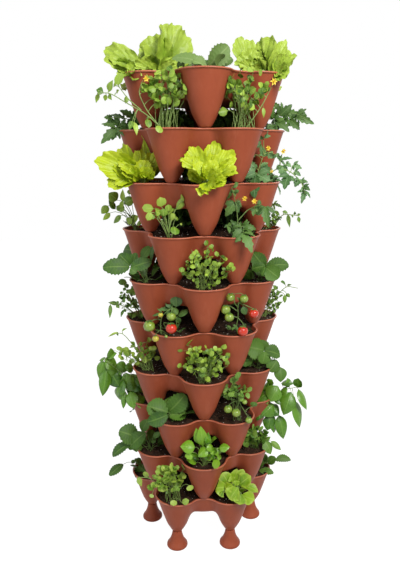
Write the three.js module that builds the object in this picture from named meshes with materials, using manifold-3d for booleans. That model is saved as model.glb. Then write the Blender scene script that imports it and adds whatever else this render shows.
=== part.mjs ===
// Vertical planter tower: ten stacked six-lobed pots on six legs, each pot filled with compost and planted.
// Millimetres, +Z up, front at -Y. The origin is on the floor, on the tower's axis.
// A bearing is an angle in degrees about an upright axis: 0 points to the front and 90 to +X.
import * as THREE from "three";
import { mergeVertices } from "three/addons/utils/BufferGeometryUtils.js";
import Module from "manifold-3d";

const wasm = await Module();
wasm.setup();

// Driving dimensions of the tower
const tierCount = 10;
const lobeCount = 6;
const tierPitch = 130; // from one pot's rim to the next pot's rim
const legHeight = 54;

// Driving dimensions of a pot
const wall = 2.5;
const lobeAcross = 66; // half width of a lobe's mouth, measured round the tower
const lobeOut = 60; // half width of a lobe's mouth, measured away from the axis
const tipAcross = 14.5; // half width of a lobe's flat tip
const lobeGap = 4.5; // between a pot's tip and the mouths on either side of it
const dishOverhang = 8; // how far the round dish's rim stands outside the circle of the lobes' axes
const dishTaper = 20; // how much narrower the dish is above its chamfered corner than at its rim
const dishDepth = 66; // outside, from the rim to the dish's underside
const dishChamfer = 14;
const tipDrainRadius = 5;
const dishDrainRadius = 11;

// Driving dimensions of a leg
const legBaseRadius = 32;
const legNeckRadius = 14.5;
const legWall = 3;
const legEdgeHeight = 6; // height of the upright edge of the leg's foot
const legFlareHeight = 22; // from the floor to where the foot's flare ends
const legFlareRadius = 22.5;

// Compost and plants
const compostDrop = 9; // from the rim down to the compost
const heapHeight = 2; // of the low heaps in the compost that the plants stand on
const heapRadius = 34;
const heapTopRadius = 13;
const crownRadius = 9;
const crownHeight = 12;
const leafThickness = 3.4;
const fruitRadius = 14.5;
const runnerWidth = 6; // the runner that joins neighbouring plants across the compost
const runnerHeight = 2.4;

// Leaf lengths
const lettuceLeaf = 102;
const strawberryLeaf = 98;
const herbLeaf = 76;
const rosetteLeaf = 60;
const basilLeaf = 146;
const tomatoLeaf = 116;

// Clearances
const seatGap = 0.3; // between two pieces that rest on each other
const compostGap = 0.4; // between the compost and the pot's inside
const legFit = 0.3; // between a leg's spigot and the hole it sits in, on the radius
const cutOverrun = 1;
const samePoint = 1e-3; // corners nearer than this are one corner

// Worked out from the sizes above
const halfStep = Math.PI / lobeCount; // half the angle between two lobes
const lobeCircle = (lobeAcross + lobeGap + tipAcross) / (2 * Math.sin(halfStep / 2));
const outShare = lobeOut / lobeAcross; // a lobe is this much narrower away from the axis
const dishRadius = lobeCircle + dishOverhang;
const plantOutShare = 0.31; // how far the plants stand outside the lobes' axes, of a mouth's half width
const plantCircle = lobeCircle + lobeOut * plantOutShare;
const runnerInShare = 0.84; // where a runner passes between two lobes, of the way from axis to axis
const runnerCircle = lobeCircle * runnerInShare;
const potHeight = tierPitch - seatGap;
const lowestRim = legHeight + seatGap + potHeight;

// A lobe's taper, as [share of its depth, share of the way from tip to mouth].
// The outside flares at the mouth and rounds in at the tip, and the inside has one straight draft.
const outsideShares = [
  [0, 1],
  [0.5, 0.56],
  [1, 0],
];
const insideShares = [
  [0, 1],
  [1, 0],
];
const lobeSides = 8;
const dishSides = 12;
const drainSides = 5;
const heapSides = 6;
const legSides = 16;

// Shares of a crown and of a leaf
const crownTopShare = 0.6; // a crown's top radius, of its bottom radius
const leafArchShare = 0.1; // how far a leaf's widest place stands above the line to its tip
const leafSpreadShare = 0.46; // half of a leaf's width, of the angle between two leaves
const fruitAlongShare = 0.9; // where a fruit sits along its leaf

// Plant kinds. Each leaf is [rise in degrees, share of the kind's leaf length], and the leaves share
// the kind's fan, in degrees, evenly. A leaf may bear a fruit.
const kinds = {
  lettuce: {
    color: 0x9ccb3b,
    leafLength: lettuceLeaf,
    widestShare: 0.77,
    fan: 205,
    leaves: [
      [26, 0.95],
      [58, 0.95],
      [20, 0.8],
      [60, 1],
      [26, 0.95],
    ],
  },
  strawberry: {
    color: 0x3f7a35,
    leafLength: strawberryLeaf,
    widestShare: 0.75,
    fan: 205,
    leaves: [
      [32, 1],
      [58, 0.95],
      [20, 0.85],
      [56, 0.85],
      [34, 0.95],
    ],
  },
  herb: {
    color: 0x6fae35,
    leafLength: herbLeaf,
    widestShare: 0.78,
    fan: 210,
    leaves: [
      [34, 0.95],
      [62, 1],
      [24, 0.75],
      [58, 1.05],
      [26, 0.8],
      [60, 0.95],
      [34, 0.95],
    ],
  },
  rosette: {
    color: 0x86bf2e,
    leafLength: rosetteLeaf,
    widestShare: 0.78,
    fan: 225,
    leaves: [
      [26, 1],
      [42, 0.85],
      [20, 0.95],
      [40, 0.8],
      [20, 0.95],
      [30, 1],
    ],
  },
  basil: {
    color: 0x5fa83a,
    leafLength: basilLeaf,
    widestShare: 0.68,
    fan: 190,
    leaves: [
      [34, 0.8],
      [46, 0.85],
      [20, 0.95],
      [38, 1],
      [34, 0.85],
    ],
  },
  tomato: {
    color: 0x3e6e2c,
    leafLength: tomatoLeaf,
    widestShare: 0.68,
    fan: 196,
    leaves: [
      [30, 0.9],
      [46, 0.9],
      [16, 0.85],
      [44, 0.9],
      [30, 0.95],
    ],
  },
};
kinds.fruitingTomato = { ...kinds.tomato, fruitLeaves: [1, 2, 3] };

// What grows in each pocket of a tier, from the top tier down, by rising bearing from the first pocket.
// Odd tiers have a pocket at the front; even tiers have a pocket half a step to the right of it.
const planting = [
  ["strawberry", "lettuce", "lettuce", "strawberry", "lettuce", "lettuce"],
  ["herb", "tomato", "herb", "herb", "tomato", "herb"],
  ["lettuce", "tomato", "tomato", "lettuce", "lettuce", "lettuce"],
  ["tomato", "herb", "strawberry", "tomato", "herb", "rosette"],
  ["herb", "strawberry", "strawberry", "herb", "strawberry", "strawberry"],
  ["fruitingTomato", "herb", "tomato", "tomato", "herb", "fruitingTomato"],
  ["herb", "strawberry", "strawberry", "herb", "herb", "herb"],
  ["fruitingTomato", "basil", "strawberry", "strawberry", "basil", "strawberry"],
  ["rosette", "herb", "herb", "rosette", "strawberry", "strawberry"],
  ["rosette", "strawberry", "herb", "herb", "strawberry", "herb"],
];

// The pockets whose plants are joined by runners into one group, numbered as in planting.
const oddGroups = { front: [0], right: [1, 2], left: [3, 4, 5] };
const evenGroups = { front: [-1, 0], right: [1, 2], left: [3, 4] };

const terracotta = new THREE.Color(0xa9553a);
const compostBrown = new THREE.Color(0x2a1d16);
const up = new THREE.Vector3(0, 0, 1);

// A solid of revolution about Z from a profile of [radius, height] points, listed from the bottom up.
function lathe(profile, sides, startAngle = 0) {
  const points = profile.map(([radius, height]) => new THREE.Vector2(radius, height));
  return new THREE.LatheGeometry(points, sides, startAngle).rotateX(Math.PI / 2);
}

// A three.js geometry as a solid: only shared positions are kept.
function solid(geometry) {
  const bare = geometry.clone();
  bare.deleteAttribute("normal");
  bare.deleteAttribute("uv");
  const merged = mergeVertices(bare, samePoint);
  const mesh = new wasm.Mesh({
    numProp: 3,
    vertProperties: merged.getAttribute("position").array,
    triVerts: new Uint32Array(merged.index.array),
  });
  return new wasm.Manifold(mesh);
}

// A solid as a three.js geometry with flat shading.
function geometryOf(made) {
  const mesh = made.getMesh();
  const shared = new THREE.BufferGeometry();
  shared.setAttribute("position", new THREE.BufferAttribute(mesh.vertProperties, 3));
  shared.setIndex(new THREE.BufferAttribute(mesh.triVerts, 1));
  const flat = shared.toNonIndexed();
  flat.computeVertexNormals();
  return flat;
}

const join = (solids) => solids.reduce((all, one) => all.add(one));

// The same geometry at each of a pot's lobes.
function aroundPot(make) {
  return Array.from({ length: lobeCount }, (_, i) => solid(make().rotateZ(2 * halfStep * i)));
}

// One lobe inside the outer surface by inset, from its tip up to topHeight.
function lobeBody(shares, inset, topHeight) {
  const profile = [[0, inset - potHeight]];
  for (const [depthShare, widthShare] of [...shares].reverse()) {
    const radius = tipAcross + (lobeAcross - tipAcross) * widthShare - inset;
    const height = -potHeight * depthShare;
    if (depthShare === 1) profile.push([radius, height + inset]);
    else if (depthShare > 0) profile.push([radius, height]);
    else profile.push([radius, topHeight]);
  }
  profile.push([0, topHeight]);
  return lathe(profile, lobeSides)
    .scale(1, outShare, 1)
    .translate(0, -lobeCircle, 0);
}

// The round dish in the middle, inside the outer surface by inset.
function dishBody(inset, topHeight) {
  const rim = dishRadius - inset;
  const corner = rim - dishTaper;
  const underside = inset - dishDepth;
  const profile = [
    [0, underside],
    [corner - dishChamfer, underside],
    [corner, underside + dishChamfer],
    [rim, topHeight],
    [0, topHeight],
  ];
  return lathe(profile, dishSides, halfStep);
}

// Everything inside a pot's outer surface by inset, lobes and dish together.
function potBody(shares, inset, topHeight) {
  const lobes = aroundPot(() => lobeBody(shares, inset, topHeight));
  return join([...lobes, solid(dishBody(inset, topHeight))]);
}

// An upright prism of the given radius, away from the axis by distance.
function plug(radius, bottom, top, distance, sides) {
  const profile = [
    [0, bottom],
    [radius, bottom],
    [radius, top],
    [0, top],
  ];
  return lathe(profile, sides).translate(0, -distance, 0);
}

function makePot() {
  const shell = potBody(outsideShares, 0, 0).subtract(potBody(insideShares, wall, cutOverrun));
  const tipFloor = wall - potHeight;
  const tipDrains = aroundPot(() =>
    plug(tipDrainRadius, -potHeight - cutOverrun, tipFloor + cutOverrun, lobeCircle, drainSides),
  );
  const dishFloor = wall - dishDepth;
  const dishDrain = plug(dishDrainRadius, -dishDepth - cutOverrun, dishFloor + cutOverrun, 0, drainSides);
  return shell.subtract(join([...tipDrains, solid(dishDrain)]));
}

// A low heap in the compost, in the front pocket.
function heap() {
  const profile = [
    [0, -compostDrop - heapHeight],
    [heapRadius, -compostDrop - heapHeight],
    [heapRadius, -compostDrop],
    [heapTopRadius, heapHeight - compostDrop],
    [0, heapHeight - compostDrop],
  ];
  return lathe(profile, heapSides).translate(0, -plantCircle, 0);
}

// The compost fills the pot's inside from the dish's floor up to compostDrop under the rim, with a low
// heap under each plant.
function makeCompost() {
  const inset = wall + compostGap;
  const layer = plug(2 * lobeCircle, inset - dishDepth, -compostDrop, 0, dishSides);
  const heaps = aroundPot(heap);
  return potBody(insideShares, inset, cutOverrun).intersect(join([solid(layer), ...heaps]));
}

// A hollow leg that flares to its foot, with a spigot that fits the drain hole in a lobe's tip.
function makeLeg() {
  const spigotRadius = tipDrainRadius - legFit;
  const outside = [
    [0, 0],
    [legBaseRadius, 0],
    [legBaseRadius, legEdgeHeight],
    [legFlareRadius, legFlareHeight],
    [legNeckRadius, legHeight],
    [0, legHeight],
  ];
  const inside = [
    [0, -cutOverrun],
    [legBaseRadius - legWall, -cutOverrun],
    [legFlareRadius - legWall, legFlareHeight - legWall],
    [legNeckRadius - legWall, legHeight - legWall],
    [0, legHeight - legWall],
  ];
  const body = solid(lathe(outside, legSides)).subtract(solid(lathe(inside, legSides)));
  return body.add(solid(plug(spigotRadius, legHeight - cutOverrun, legHeight + wall, 0, drainSides)));
}

// The unit vector at a bearing and rise, in degrees.
function heading(bearing, rise) {
  const angle = THREE.MathUtils.degToRad(bearing);
  const lift = THREE.MathUtils.degToRad(rise);
  return new THREE.Vector3(Math.sin(angle), -Math.cos(angle), Math.tan(lift)).normalize();
}

// A closed mesh from a list of points and a list of triangles.
function polyhedron(points, triangles) {
  const geometry = new THREE.BufferGeometry();
  const flatPoints = points.flatMap((point) => point.toArray());
  geometry.setAttribute("position", new THREE.Float32BufferAttribute(flatPoints, 3));
  geometry.setIndex(triangles.flat());
  return solid(geometry);
}

// A plant of one kind on a crown at the origin, facing the front. Each leaf is a kite that grows out of
// one side of the crown, and the side towards the tower is bare.
function makePlant(name) {
  const { leafLength, widestShare, fan, leaves, fruitLeaves = [] } = kinds[name];
  const step = fan / leaves.length;
  const corners = [];
  for (let j = 0; j <= leaves.length; j++) {
    const out = heading(step * j - fan / 2, 0);
    corners.push(out.clone().multiplyScalar(crownRadius));
    corners.push(out.clone().multiplyScalar(crownRadius * crownTopShare).setZ(crownHeight));
  }
  const points = [...corners];
  const triangles = [];
  const last = corners.length - 2;
  for (let j = 2; j < last; j += 2) triangles.push([0, j + 2, j], [1, j + 1, j + 3]);
  triangles.push([last, 0, 1], [last, 1, last + 1]);
  const tips = leaves.map(([rise, share], i) => {
    const direction = heading(step * (i + 0.5) - fan / 2, rise);
    const side = new THREE.Vector3().crossVectors(up, direction).normalize();
    const top = new THREE.Vector3().crossVectors(direction, side);
    const root = new THREE.Vector3(0, 0, crownHeight / 2);
    const length = leafLength * share;
    const middle = root.clone().addScaledVector(direction, length * widestShare);
    const spread = THREE.MathUtils.degToRad(step * leafSpreadShare);
    const halfWidth = Math.hypot(middle.x, middle.y) * Math.tan(spread);
    middle.addScaledVector(top, length * leafArchShare);
    const tip = root.clone().addScaledVector(direction, length);
    const [lowLeft, topLeft, lowRight, topRight] = [2 * i, 2 * i + 1, 2 * i + 2, 2 * i + 3];
    const right = points.push(middle.clone().addScaledVector(side, halfWidth)) - 1;
    const left = points.push(middle.clone().addScaledVector(side, -halfWidth)) - 1;
    const under = points.push(middle.clone().addScaledVector(top, -leafThickness)) - 1;
    const end = points.push(tip) - 1;
    triangles.push([topLeft, left, right], [topLeft, right, topRight], [left, end, right]);
    triangles.push([topRight, right, lowRight], [lowRight, right, under]);
    triangles.push([topLeft, lowLeft, left], [left, lowLeft, under]);
    triangles.push([lowLeft, lowRight, under], [left, under, end], [under, right, end]);
    return root.clone().addScaledVector(direction, length * fruitAlongShare);
  });
  const fruits = fruitLeaves.map((i) =>
    solid(new THREE.IcosahedronGeometry(fruitRadius, 0)).translate(tips[i].toArray()),
  );
  return join([polyhedron(points, triangles), ...fruits]);
}

// A runner over the compost between two pockets' plants, bent to pass inside the dish's wall.
function makeRunner(fromAngle, toAngle) {
  const at = (angle, radius) => new THREE.Vector2(Math.sin(angle), -Math.cos(angle)).multiplyScalar(radius);
  const middleAngle = (fromAngle + toAngle) / 2;
  const edge = (offset) => [
    at(fromAngle, plantCircle + offset),
    at(middleAngle, runnerCircle + offset),
    at(toAngle, plantCircle + offset),
  ];
  const outline = [...edge(-runnerWidth / 2), ...edge(runnerWidth / 2).reverse()];
  const flat = new THREE.Shape(outline);
  return solid(new THREE.ExtrudeGeometry(flat, { depth: runnerHeight, bevelEnabled: false }));
}

// The plants of neighbouring pockets, numbered by rising bearing, on the heaps and joined by runners.
function makePlants(names, pockets, firstAngle) {
  const angleOf = (pocket) => firstAngle + 2 * halfStep * pocket;
  const plants = pockets.map((pocket) => {
    const turn = THREE.MathUtils.radToDeg(angleOf(pocket));
    return makePlant(names.at(pocket)).translate([0, -plantCircle, 0]).rotate([0, 0, turn]);
  });
  const runners = pockets.slice(1).map((pocket, i) => makeRunner(angleOf(pockets[i]), angleOf(pocket)));
  return join([...plants, ...runners]).translate([0, 0, heapHeight - compostDrop + seatGap]);
}

function named(name, made, color, roughness) {
  const material = new THREE.MeshStandardMaterial({ color, roughness, metalness: 0 });
  const mesh = new THREE.Mesh(geometryOf(made), material);
  mesh.name = name;
  return mesh;
}

const pot = makePot();
const compost = makeCompost();
const leg = makeLeg();

// A tier, counted from the top: its pot, its compost and its plants in three groups of pockets.
function makeTier(number) {
  const odd = number % 2 === 1;
  const label = `tier_${String(number).padStart(2, "0")}`;
  const names = planting[number - 1];
  const groups = odd ? oddGroups : evenGroups;
  const tier = new THREE.Group();
  tier.add(named(`${label}_pot`, pot.rotate([0, 0, odd ? 0 : 180 / lobeCount]), terracotta, 0.62));
  tier.add(named(`${label}_compost`, compost.rotate([0, 0, odd ? 0 : 180 / lobeCount]), compostBrown, 0.95));
  for (const [side, pockets] of Object.entries(groups)) {
    const plants = makePlants(names, pockets, odd ? 0 : halfStep);
    tier.add(named(`${label}_plants_${side}`, plants, kinds[names.at(pockets[0])].color, 0.7));
  }
  tier.position.z = lowestRim + (tierCount - number) * tierPitch;
  return tier;
}

// The legs stand under the lowest pot's lobes.
function makeLegs() {
  const firstAngle = tierCount % 2 === 1 ? 0 : halfStep;
  const legs = new THREE.Group();
  for (let i = 0; i < lobeCount; i++) {
    const angle = firstAngle + 2 * halfStep * i;
    const mesh = named(`leg_${i + 1}`, leg, terracotta, 0.62);
    mesh.position.set(Math.sin(angle) * lobeCircle, -Math.cos(angle) * lobeCircle, 0);
    mesh.rotation.z = angle;
    legs.add(mesh);
  }
  return legs;
}

const tower = new THREE.Group();
tower.add(makeLegs());
for (let number = 1; number <= tierCount; number++) tower.add(makeTier(number));

export default tower;
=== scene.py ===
"""Looks of the planter tower: smooth pots, legs, compost with perlite, and the plants in their pockets."""
import math

import bmesh
import bpy
import numpy as np
from mathutils import Matrix, Vector


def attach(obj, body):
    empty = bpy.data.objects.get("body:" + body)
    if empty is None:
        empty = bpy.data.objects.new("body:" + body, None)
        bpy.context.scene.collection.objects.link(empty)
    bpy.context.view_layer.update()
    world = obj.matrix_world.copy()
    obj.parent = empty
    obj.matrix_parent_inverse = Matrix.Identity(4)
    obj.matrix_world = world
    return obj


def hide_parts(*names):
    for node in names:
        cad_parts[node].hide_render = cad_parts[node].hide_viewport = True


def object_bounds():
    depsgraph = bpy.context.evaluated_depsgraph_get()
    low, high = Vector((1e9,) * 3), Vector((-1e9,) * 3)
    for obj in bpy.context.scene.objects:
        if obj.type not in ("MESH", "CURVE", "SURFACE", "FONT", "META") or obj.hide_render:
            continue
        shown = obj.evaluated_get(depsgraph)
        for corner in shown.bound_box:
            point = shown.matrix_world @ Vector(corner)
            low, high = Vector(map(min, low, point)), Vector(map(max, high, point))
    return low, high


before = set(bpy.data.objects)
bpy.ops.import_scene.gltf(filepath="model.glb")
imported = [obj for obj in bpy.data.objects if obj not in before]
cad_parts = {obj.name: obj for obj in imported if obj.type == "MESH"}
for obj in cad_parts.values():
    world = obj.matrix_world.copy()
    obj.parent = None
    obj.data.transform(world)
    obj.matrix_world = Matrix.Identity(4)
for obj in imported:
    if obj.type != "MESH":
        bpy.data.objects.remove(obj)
cad_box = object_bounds()

MM = 0.001

# The tower's sizes in millimetres, as in the frame
TIERS = 10
POCKETS = 6
STEP = 60.0
PITCH = 130.0
LOWEST_RIM = 184.0
DEPTH = 129.7
LOBE_CIRCLE = 164.21
DISH_RIM = 172.2
DISH_CORNER = 152.2
DISH_DEPTH = 66.0
WALL = 2.5
LIP = 1.9
SOIL_DROP = 9.0
PLANT_CIRCLE = 182.8
HEAP_HEIGHT = 2.0
HEAP_RADIUS = 34.0
HEAP_TOP_RADIUS = 13.0


def rim_height(tier):
    return LOWEST_RIM + (TIERS - tier) * PITCH


def first_bearing(tier):
    return 0.0 if tier % 2 else STEP / 2


def tier_names(tier):
    """A tier's label and the body that its pieces ride on."""
    label = f"tier_{tier:02d}"
    return label, "base" if tier == TIERS else label


# The camera, fitted to the rims, lobe tips and feet of the photograph
CAMERA_PLACE = (-0.07407, -1.57229, 1.16891)
CAMERA_TURN = 0.0438
CAMERA_TILT = 0.3057
SENSOR = 36.0
FOCAL_PIXELS = 548.68
SHIFT_PIXELS = 40.0
PICTURE_HEIGHT = 570.0


def make_camera():
    data = bpy.data.cameras.new("view")
    data.sensor_width = SENSOR
    data.lens = SENSOR * FOCAL_PIXELS / PICTURE_HEIGHT
    data.shift_y = SHIFT_PIXELS / PICTURE_HEIGHT
    camera = bpy.data.objects.new("view", data)
    camera.location = CAMERA_PLACE
    camera.rotation_euler = (math.pi / 2 - CAMERA_TILT, 0.0, -CAMERA_TURN)
    bpy.context.scene.collection.objects.link(camera)
    bpy.context.scene.camera = camera


make_camera()


class Nodes:
    """A small helper round the node tree of a material or a world."""

    def __init__(self, owner):
        owner.use_nodes = True
        self.owner = owner
        self.tree = owner.node_tree

    def fill(self, node, inputs):
        """Gives each named input a value, a colour, or another node's output."""
        for key, value in inputs.items():
            if isinstance(value, bpy.types.NodeSocket):
                self.tree.links.new(value, node.inputs[key])
            else:
                node.inputs[key].default_value = value

    def add(self, kind, inputs=None, **settings):
        node = self.tree.nodes.new(kind)
        for key, value in settings.items():
            setattr(node, key, value)
        self.fill(node, inputs or {})
        return node

    def coordinates(self):
        return self.add("ShaderNodeTexCoord").outputs["Object"]

    def noise(self, place, scale, detail=4.0, roughness=0.55):
        inputs = {"Vector": place, "Scale": scale, "Detail": detail, "Roughness": roughness}
        return self.add("ShaderNodeTexNoise", inputs).outputs["Fac"]

    def ramp(self, value, *stops):
        node = self.add("ShaderNodeValToRGB", {"Fac": value})
        elements = node.color_ramp.elements
        while len(elements) < len(stops):
            elements.new(0.5)
        for element, (at, color) in zip(elements, stops):
            element.position = at
            element.color = color
        return node.outputs["Color"]

    def span(self, value, low, high, to_low=0.0, to_high=1.0):
        inputs = {"Value": value, "From Min": low, "From Max": high, "To Min": to_low, "To Max": to_high}
        return self.add("ShaderNodeMapRange", inputs).outputs["Result"]

    def mix(self, share, a, b):
        return self.add("ShaderNodeMix", {0: share, 6: a, 7: b}, data_type="RGBA").outputs[2]

    def math(self, operation, a, b=0.0):
        return self.add("ShaderNodeMath", {0: a, 1: b}, operation=operation).outputs[0]

    def bump(self, height, strength, distance, under=None):
        inputs = {"Height": height, "Strength": strength, "Distance": distance}
        if under is not None:
            inputs["Normal"] = under
        return self.add("ShaderNodeBump", inputs).outputs["Normal"]

    def finish(self, color, roughness, normal, specular=0.5):
        shader = self.tree.nodes["Principled BSDF"]
        look = {"Base Color": color, "Roughness": roughness, "Normal": normal, "Specular IOR Level": specular}
        self.fill(shader, look)
        return self.owner

    def seen_share(self):
        """1 where the camera sees the backdrop, straight or by way of gloss or glass."""
        path = self.add("ShaderNodeLightPath")
        share = path.outputs["Is Camera Ray"]
        for kind in ("Is Glossy Ray", "Is Transmission Ray"):
            share = self.math("MAXIMUM", share, path.outputs[kind])
        return share


def material_nodes(name):
    return Nodes(bpy.data.materials.new(name))


def linear(red, green, blue):
    """A colour from 0..255 display values, as linear light."""

    def one(value):
        value /= 255.0
        return value / 12.92 if value <= 0.04045 else ((value + 0.055) / 1.055) ** 2.4

    return one(red), one(green), one(blue), 1.0


def terracotta_plastic():
    n = material_nodes("terracotta_plastic")
    place = n.coordinates()
    stretch = n.add("ShaderNodeMapping", {"Scale": (1.0, 1.0, 0.16), "Vector": place})
    clouds = n.noise(place, 9.0, 5.0)
    drips = n.noise(stretch.outputs["Vector"], 60.0, 4.0, 0.6)
    base = n.ramp(clouds, (0.3, linear(158, 75, 47)), (0.7, linear(174, 87, 57)))
    dusty = n.mix(n.span(drips, 0.56, 0.78, 0.0, 0.25), base, linear(194, 112, 84))
    color = n.mix(n.span(drips, 0.44, 0.26, 0.0, 0.25), dusty, linear(134, 62, 42))
    grain = n.bump(n.noise(place, 900.0, 2.0), 0.25, 0.0004)
    return n.finish(color, n.span(clouds, 0.3, 0.75, 0.46, 0.56), grain, 0.3)


# The lip is the pot's own plastic painted lighter and glossier: a painted highlight along the rim
def lip_plastic_painted_highlight():
    n = material_nodes("terracotta_lip_painted_highlight")
    place = n.coordinates()
    clouds = n.noise(place, 30.0)
    base = n.ramp(clouds, (0.3, linear(180, 94, 66)), (0.7, linear(202, 116, 84)))
    grain = n.bump(n.noise(place, 900.0, 2.0), 0.2, 0.0004)
    return n.finish(base, n.span(clouds, 0.3, 0.75, 0.38, 0.5), grain)


def potting_compost():
    n = material_nodes("potting_compost")
    place = n.coordinates()
    coarse = n.noise(place, 120.0, 6.0, 0.65)
    fine = n.noise(place, 620.0, 3.0, 0.6)
    dark = n.ramp(coarse, (0.3, linear(22, 15, 11)), (0.5, linear(52, 36, 26)), (0.72, linear(96, 70, 52)))
    color = n.mix(n.span(fine, 0.6, 0.7, 0.0, 0.7), dark, linear(142, 114, 88))
    normal = n.bump(fine, 0.6, 0.0015, n.bump(coarse, 0.9, 0.004))
    return n.finish(color, n.span(fine, 0.3, 0.7, 0.8, 1.0), normal, 0.2)


def perlite():
    n = material_nodes("perlite")
    dust = n.noise(n.coordinates(), 500.0, 3.0)
    color = n.ramp(dust, (0.3, linear(150, 140, 126)), (0.6, linear(226, 222, 212)))
    return n.finish(color, n.span(dust, 0.3, 0.7, 0.75, 0.95), n.bump(dust, 0.6, 0.0008))


def leaf_material(name, colors, roughness, ribs, rib_share, edge_from=0.72, pale_foot=0.0, mid=0.1):
    """A leaf: tint by leaf, paler veins, painted shade in the hollows between them, and a soft gloss."""
    n = material_nodes(name)
    # The colour of the painted shade in the leaf's hollows: its deepest colour darkened
    painted_shade_color = linear(*[c * 0.6 for c in colors[0]])
    deep, bright, vein, *edge = [linear(*color) for color in colors]
    uv = n.add("ShaderNodeUVMap", uv_map="leaf").outputs["UV"]
    split = n.add("ShaderNodeSeparateXYZ", {0: uv}).outputs
    u = n.math("FRACT", split[0])
    tint = n.math("DIVIDE", n.math("FLOOR", split[0]), 8.0)
    across = n.math("ABSOLUTE", n.math("SUBTRACT", n.math("MULTIPLY", split[1], 2.0), 1.0))
    place = n.coordinates()
    blotch, fine = n.noise(place, 70.0, 3.0), n.noise(place, 420.0, 3.0)
    base = n.mix(n.span(blotch, 0.4, 0.7, 0.0, 0.45), n.mix(tint, deep, bright), bright)
    slanted = n.math("SUBTRACT", n.math("MULTIPLY", u, ribs), n.math("MULTIPLY", across, 1.4))
    from_rib = n.math("ABSOLUTE", n.math("SUBTRACT", n.math("FRACT", slanted), 0.5))
    rib_mask = n.span(from_rib, 0.1, 0.0, 0.0, rib_share)
    veins = n.math("MAXIMUM", rib_mask, n.span(across, mid, 0.0, 0.0, 0.75))
    base = n.mix(veins, base, vein)
    if pale_foot:
        base = n.mix(n.span(u, pale_foot, 0.0, 0.0, 0.85), base, vein)
    if edge:
        side, end = n.span(across, 0.62, 1.0, 0.0, 0.9), n.span(u, edge_from, 0.98, 0.0, 0.9)
        base = n.mix(n.math("MAXIMUM", side, end), base, edge[0])
    # Painted shade: up to 12% of the darker colour where the fine bump lies low
    base = n.mix(n.span(fine, 0.35, 0.65, 0.12, 0.0), base, painted_shade_color)
    normal = n.bump(n.math("ADD", veins, n.math("MULTIPLY", fine, 0.5)), 0.35, 0.0012)
    return n.finish(base, n.span(blotch, 0.3, 0.7, roughness, roughness + 0.14), normal, 0.45)


def plain_material(name, low, high, roughness=0.5, scale=150.0, specular=0.5):
    n = material_nodes(name)
    cloud = n.noise(n.coordinates(), scale, 3.0)
    color = n.ramp(cloud, (0.3, linear(*low)), (0.7, linear(*high)))
    rough = n.span(cloud, 0.3, 0.7, roughness, roughness + 0.1)
    return n.finish(color, rough, n.bump(cloud, 0.2, 0.0005), specular)


# Each leaf's colours, deepest, brightest and of its veins, and of its edge where that is paler. Then
# its roughness, ribs and how much they show, the start of the edge, the pale foot and the midrib's width
LEAF_LOOKS = {
    "lettuce": (
        [(96, 132, 22), (160, 188, 58), (206, 220, 130), (184, 210, 78)], 0.42, 7.0, 0.1, 0.4, 0.15, 0.04),
    "gold_lettuce": (
        [(92, 128, 4), (166, 192, 20), (212, 224, 90), (204, 222, 40)], 0.42, 7.0, 0.08, 0.35, 0.1, 0.04),
    "strawberry": ([(42, 82, 16), (92, 134, 40), (118, 152, 70)], 0.52, 8.0, 0.28),
    "grey_strawberry": ([(70, 104, 40), (122, 152, 78), (150, 176, 108)], 0.52, 8.0, 0.3),
    "cress": ([(56, 104, 12), (172, 206, 72), (184, 212, 100)], 0.36, 7.0, 0.15),
    "sprout": ([(92, 140, 24), (178, 206, 84), (192, 214, 112)], 0.38, 7.0, 0.15),
    "basil": ([(44, 98, 14), (116, 168, 48), (134, 182, 74)], 0.24, 6.0, 0.25),
    "bright_basil": ([(70, 132, 10), (146, 196, 50), (160, 206, 80)], 0.24, 6.0, 0.25),
    "tomato": ([(44, 80, 26), (96, 136, 60), (120, 156, 84)], 0.46, 7.0, 0.4),
    "blue_tomato": ([(60, 104, 48), (116, 158, 96), (142, 180, 122)], 0.46, 7.0, 0.4),
    "rosette": ([(90, 142, 10), (164, 202, 40), (184, 214, 90), (186, 216, 78)], 0.38, 7.0, 0.2),
    "herb": ([(60, 106, 26), (130, 172, 66), (152, 186, 92)], 0.42, 7.0, 0.2),
}

SLOT_MATERIALS = {
    "plastic": terracotta_plastic(),
    "lip": lip_plastic_painted_highlight(),
    "soil": potting_compost(),
    "perlite": perlite(),
    "stem": plain_material("green_stem", (112, 146, 66), (160, 184, 104)),
    "dark_stem": plain_material("dark_stem", (84, 116, 52), (120, 148, 76)),
    "flower": plain_material("yellow_petal", (238, 204, 44), (252, 228, 96)),
    "red_fruit": plain_material("red_fruit", (206, 40, 18), (228, 66, 32), 0.16, 60.0, 0.6),
    "green_fruit": plain_material("green_fruit", (120, 150, 44), (156, 184, 74), 0.2, 60.0, 0.6),
    "yellow_fruit": plain_material("yellow_fruit", (190, 176, 50), (214, 200, 76), 0.2, 60.0, 0.6),
}
for key, look in LEAF_LOOKS.items():
    SLOT_MATERIALS[key] = leaf_material(f"{key}_leaf", *look)


# The pot's shape as a distance field, in millimetres from the middle of its rim
OUTLINE_DEPTH = np.array([0.0, 0.05, 0.12, 0.22, 0.4, 0.6, 0.77, 0.88, 0.95, 1.0, 1.2])
OUTLINE_WIDTH = np.array([64.4, 62.2, 59.0, 54.6, 47.5, 39.0, 31.0, 23.6, 18.2, 14.6, 14.0])
OUT_SHARE = 60.0 / 66.0
LOBE_BLEND = 10.0
TIP_BLEND = 5.0
DISH_BLEND = 16.0


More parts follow.
